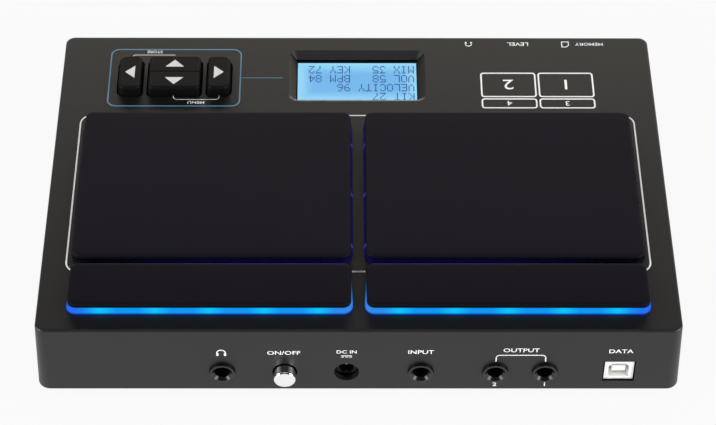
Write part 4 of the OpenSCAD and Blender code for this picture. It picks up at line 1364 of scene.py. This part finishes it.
GLYPHS = {
    "2": ".###.|#...#|....#|...#.|..#..|.#...|#####",
    "3": "#####|...#.|..#..|...#.|....#|#...#|.###.",
    "4": "...#.|..##.|.#.#.|#..#.|#####|...#.|...#.",
    "5": "#####|#....|####.|....#|....#|#...#|.###.",
    "6": "..##.|.#...|#....|####.|#...#|#...#|.###.",
    "7": "#####|....#|...#.|..#..|.#...|.#...|.#...",
    "8": ".###.|#...#|#...#|.###.|#...#|#...#|.###.",
    "9": ".###.|#...#|#...#|.####|....#|...#.|.##..",
    "B": "####.|#...#|#...#|####.|#...#|#...#|####.",
    "C": ".###.|#...#|#....|#....|#....|#...#|.###.",
    "E": "#####|#....|#....|####.|#....|#....|#####",
    "I": ".###.|..#..|..#..|..#..|..#..|..#..|.###.",
    "K": "#...#|#..#.|#.#..|##...|#.#..|#..#.|#...#",
    "L": "#....|#....|#....|#....|#....|#....|#####",
    "M": "#...#|##.##|#.#.#|#.#.#|#...#|#...#|#...#",
    "O": ".###.|#...#|#...#|#...#|#...#|#...#|.###.",
    "P": "####.|#...#|#...#|####.|#....|#....|#....",
    "T": "#####|..#..|..#..|..#..|..#..|..#..|..#..",
    "V": "#...#|#...#|#...#|#...#|#...#|.#.#.|..#..",
    "X": "#...#|#...#|.#.#.|..#..|.#.#.|#...#|#...#",
    "Y": "#...#|#...#|.#.#.|..#..|..#..|..#..|..#..",
    " ": ".....|.....|.....|.....|.....|.....|.....",
}


@dataclass
class Display(Assembly):
    """Window, lit panel and its digits."""

    rows: tuple[str, ...] = ("KIT 27", "VELOCITY 96", "VOL 58   BPM 84", "MIX 35   KEY 72")
    columns: int = 16
    margin: Point = (1.1, 0.9)
    screen: Point = (53.2, 24.9)
    dot_share: float = 0.88
    rows_per_cell: float = 8.4
    columns_per_cell: float = 6

    def build(self) -> None:
        """Dresses the display and builds its digits."""
        low, high = in_mm(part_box("lcd_panel"))
        middle = (low + high) / 2
        half = (self.screen[0] / 2, self.screen[1] / 2)
        dress(WINDOW_CLEAR, "display_lens")
        dress(DisplayGlow("display_glow", middle=(middle.x, middle.y), half=half), "lcd_panel")
        dress(FRAME_BLACK, "lcd_frame")
        self.add_digits((middle.x, middle.y, high.z))

    def add_digits(self, middle: Triple) -> None:
        """Builds the dark dots of the digits on the glass.

        Args:
            middle: Middle of the glass.
        """
        ink = Print(facing(middle))
        cell_w = (self.screen[0] - 2 * self.margin[0]) / self.columns
        cell_h = (self.screen[1] - 2 * self.margin[1]) / len(self.rows)
        dot_w, dot_h = cell_w / self.columns_per_cell, cell_h / self.rows_per_cell
        w, h = self.dot_share * dot_w, self.dot_share * dot_h
        left, upper = -self.screen[0] / 2 + self.margin[0], self.screen[1] / 2 - self.margin[1]
        for row, text in enumerate(self.rows):
            for column, letter in enumerate(text):
                lines = enumerate(GLYPHS[letter].split("|"))
                for i, j in [(i, j) for j, dots in lines for i, dot in enumerate(dots) if dot == "#"]:
                    x = left + column * cell_w + i * dot_w
                    y = upper - row * cell_h - j * dot_h
                    ink.fill([(x, y), (x, y - h), (x + w, y - h), (x + w, y)])
        ink.piece("display_digits", CELL_BLUE, slot="display")


@dataclass
class CursorKeys(Assembly):
    """Four cursor keys with their arrows, switches and board; an arrow has a length and a span."""

    side_arrow: Point = (4.3, 7.7)
    mid_arrow: Point = (4.4, 8.2)
    arrows_y: float = -59.3
    mid_arrow_out: float = 5.6

    def build(self) -> None:
        """Dresses the keys and builds their arrows."""
        for key in Key:
            dress(KEY_BLACK, f"key_{key.value}")
            dress(SWITCH_WHITE, f"key_plunger_{key.value}")
            self.add_arrow(key)
        dress(SOCKET_BLACK, "key_switches")
        dress(BOARD_GREEN, "control_board")

    def add_arrow(self, key: Key) -> None:
        """Builds the arrow on a key.

        Args:
            key: Which key it is on.
        """
        low, high = in_mm(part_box(f"key_{key.value}"))
        out = 0 if key.is_side else key.sign * self.mid_arrow_out
        ink = Print(facing(((low.x + high.x) / 2, self.layout.centre_y + self.arrows_y + out, high.z)))
        length, span = self.side_arrow if key.is_side else self.mid_arrow
        tip = key.sign * length / 2
        arrow = [(tip, 0), (-tip, span / 2), (-tip, -span / 2)]
        ink.fill(arrow if key.is_side else [(y, x) for x, y in arrow])
        ink.piece(f"key_arrow_{key.value}", ARROW_INK, f"cursor_{key.value}", "key")


@dataclass
class RearSockets(Assembly):
    """Sockets and power button in the rear wall, with the board behind them."""

    jacks: tuple[str, ...] = ("jack_phones", "jack_trigger", "jack_out_right", "jack_out_left")

    def build(self) -> None:
        """Dresses the sockets, the button and the board."""
        dress(SOCKET_BLACK, *self.jacks, "dc_inlet", "power_switch", "board_parts")
        dress(TIN, "dc_pin", "usb_shell")
        dress(CORE_WHITE, "usb_core")
        dress(CHROME, "power_button")
        dress(SWITCH_WHITE, "power_plunger")
        dress(BOARD_GREEN, "main_board")
        dress(RIBBON_GREY, "ribbon_cable")


@dataclass
class Dials(Assembly):
    """Volume dials and card slot in the front wall."""

    mark_w: float = 0.8
    notch_depth: float = 0.6
    hub_gap: float = 0.2
    rim_gap: float = 1.2

    def build(self) -> None:
        """Dresses the dials and builds their marks."""
        dress(POT_GREY, "volume_pots")
        dress(TIN, "sd_socket")
        for name in ("phones", "main"):
            dress(STEEL, f"{name}_shaft")
            dress(DIAL_BLACK, f"{name}_dial")
            self.add_mark(name)

    def add_mark(self, name: str) -> None:
        """Builds the white mark in a dial's pointer notch.

        Args:
            name: Which dial it is on.
        """
        low, high = in_mm(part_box(f"{name}_dial"))
        middle = (low + high) / 2
        r = (high.x - low.x) / 2
        hub_r = r / 3
        ink = Print(facing((middle.x, low.y + self.notch_depth, middle.z), up=(0, 0, 1)))
        ink.line([(0, hub_r + self.hub_gap), (0, r - self.rim_gap)], self.mark_w)
        ink.piece(f"dial_mark_{name}", WHITE_INK, f"{name}_volume", "dial")


@dataclass
class PanelPrint(Assembly):
    """Lines and signs on the top panel."""

    line_w: float = 0.68
    outline_x: float = 121.15
    outline_front: float = -36.65
    outline_rear: float = 55.25
    outline_r: float = 5
    corner_end: float = 76
    gap_half: float = 2.75
    gap_w: float = 0.9
    frame_left: float = 52.1
    frame_right: float = 110.3
    frame_front: float = -78.9
    frame_rear: float = -42.55
    frame_r: float = 3.6
    frame_w: float = 0.58
    lead_w: float = 0.3
    lead_end: float = 33.2
    lead_y: float = -60.5
    store: Word = Word("STORE", (91, -77.3), 1.7, 1.0)
    store_span: Point = (81.7, 99.6)
    store_y: float = -75.3
    store_r: float = 1
    store_w: float = 0.28
    menu: Word = Word("MENU", (71.3, -44.75), 1.7)
    menu_span: Point = (61.2, 81.4)
    menu_y: float = -46.7
    menu_leg: float = 3
    menu_r: float = 1.6
    menu_w: float = 0.2
    level: Word = Word("LEVEL", (-72.7, -82.7))
    memory: Word = Word("MEMORY", (-105, -82.7), 1.9)
    phones_at: Point = (-50.4, -82.7)
    phones_h: float = 3
    card_span: Point = (-95.6, -92.6)
    card_rise: Point = (-84.3, -80.9)
    card_notch: float = 1.1
    card_w: float = 0.4
    plan_at: Point = (-80, -52)
    plan_w: float = 24
    plan_gap: float = 1.6
    plan_rows: tuple[tuple[int, float, float], ...] = ((1, -4.2, 15.0), (3, 7.6, 5.6))
    plan_r: float = 1.2
    plan_line_w: float = 0.7
    number_h: float = 6.5
    number_room: float = 2.6

    def build(self) -> None:
        """Builds everything that is printed on the panel."""
        self.add_outline()
        self.add_key_frame()
        self.add_key_signs()
        self.add_edge_signs()
        self.add_pad_plan()

    def add_outline(self) -> None:
        """Builds the white line around the pads, open where the rear pads lie over it."""
        ink = Print(self.layout.panel())
        x, r = self.outline_x - self.outline_r, self.outline_r
        rear, front = self.outline_rear - r, self.outline_front + r
        path = [
            *arc((x, rear), r, self.corner_end, 0), *arc((x, front), r, 0, -90),
            *arc((-x, front), r, -90, -180), *arc((-x, rear), r, 180, 180 - self.corner_end)]
        ink.line(path, self.line_w)
        ink.line([(-self.gap_half, self.outline_rear), (self.gap_half, self.outline_rear)], self.gap_w)
        ink.piece("panel_outline", WHITE_INK)

    def add_key_frame(self) -> None:
        """Builds the blue frame around the keys and its lead to the display."""
        ink = Print(self.layout.panel())
        middle = ((self.frame_left + self.frame_right) / 2, (self.frame_front + self.frame_rear) / 2)
        w, d = self.frame_right - self.frame_left, self.frame_rear - self.frame_front
        ink.line(rounded_rectangle(w, d, self.frame_r, middle), self.frame_w, closed=True)
        ink.line([(self.frame_left, self.lead_y), (self.lead_end, self.lead_y)], self.lead_w)
        ink.piece("panel_key_frame", BLUE_INK)

    def add_key_signs(self) -> None:
        """Builds the brackets that join two keys each, and their words."""
        ink = Print(self.layout.panel())
        start, end = self.store_span
        turn = arc((end, self.store_y + self.store_r), self.store_r, -90, 0, steps=6)
        ink.line([(start, self.store_y), *turn], self.store_w)
        ink.bracket(self.menu_span, self.menu_y, self.menu_y - self.menu_leg, self.menu_r, self.menu_w)
        ink.letters(self.store)
        ink.letters(self.menu)
        ink.piece("panel_key_signs", WHITE_INK)

    def add_edge_signs(self) -> None:
        """Builds the signs over the dials and the card slot."""
        ink = Print(self.layout.panel())
        ink.headphones(self.phones_at, self.phones_h)
        ink.letters(self.level)
        (left, right), (low, high), notch = self.card_span, self.card_rise, self.card_notch
        card = [(left, low), (right, low), (right, high), (left + notch, high), (left, high - notch)]
        ink.line(card, self.card_w, closed=True)
        ink.letters(self.memory)
        ink.piece("panel_edge_signs", WHITE_INK)

    def add_pad_plan(self) -> None:
        """Builds a numbered plan of the four pads."""
        ink = Print(self.layout.panel())
        for column, side in enumerate((-1, 1)):
            x = self.plan_at[0] + side * (self.plan_w + self.plan_gap) / 2
            for first, rise, d in self.plan_rows:
                at = (x, self.plan_at[1] + rise)
                flat = rounded_rectangle(self.plan_w, d, self.plan_r, at, steps=4)
                ink.line(flat, self.plan_line_w, closed=True)
                ink.letters(Word(str(first + column), at, min(self.number_h, d - self.number_room)))
        ink.piece("panel_pad_plan", WHITE_INK)


@dataclass
class RearPrint(Assembly):
    """Signs on the rear wall; heights are measured down from the panel."""

    words: tuple[Word, ...] = (
        Word("ON/OFF", (-30.7, -13.1)), Word("DC IN", (-5, -12.5), 1.9), Word("INPUT", (25.3, -12.6)),
        Word("OUTPUT", (66.3, -11.5)), Word("DATA", (107, -12.1)),
        Word("2", (56.2, -32.4), 2.2), Word("1", (76.9, -32.4), 2.2))
    phones_at: Point = (-56.2, -13.1)
    phones_h: float = 3.8
    output_span: Point = (56.2, 76.5)
    output_rise: Point = (-14.6, -18.5)
    output_r: float = 1.6
    output_w: float = 0.42
    power_at: Point = (-5, -15.3)
    power_half: float = 2.2
    power_rise: float = 0.4
    power_w: float = 0.36
    dash_pitch: float = 1.65
    dash_half: float = 0.55

    def build(self) -> None:
        """Builds the signs over and under the sockets."""
        ink = Print(self.layout.rear_wall())
        ink.headphones(self.phones_at, self.phones_h)
        for word in self.words:
            ink.letters(word)
        ink.bracket(self.output_span, *self.output_rise, self.output_r, self.output_w)
        self.add_power_sign(ink)
        ink.piece("rear_signs", WHITE_INK)

    def add_power_sign(self, ink: Print) -> None:
        """Draws a plain power sign: a line over a dashed line.

        Args:
            ink: The print to draw on.
        """
        x, y = self.power_at
        strokes = [(x, y + self.power_rise, self.power_half)]
        strokes += [(x + dash * self.dash_pitch, y - self.power_rise, self.dash_half) for dash in (-1, 0, 1)]
        for middle, height, half in strokes:
            ink.line([(middle - half, height), (middle + half, height)], self.power_w)


def main() -> None:
    """Builds the studio and every sub-assembly, in order."""
    logging.basicConfig(level=logging.INFO, format="%(name)s: %(message)s")
    layout = Layout.from_frame()
    for kind in (Studio, Case, PadSet, Lamps, Display, CursorKeys, RearSockets, Dials, PanelPrint, RearPrint):
        kind(layout).build()
        LOG.info("finished %s", kind.__name__)


if __name__ == "__main__":
    main()
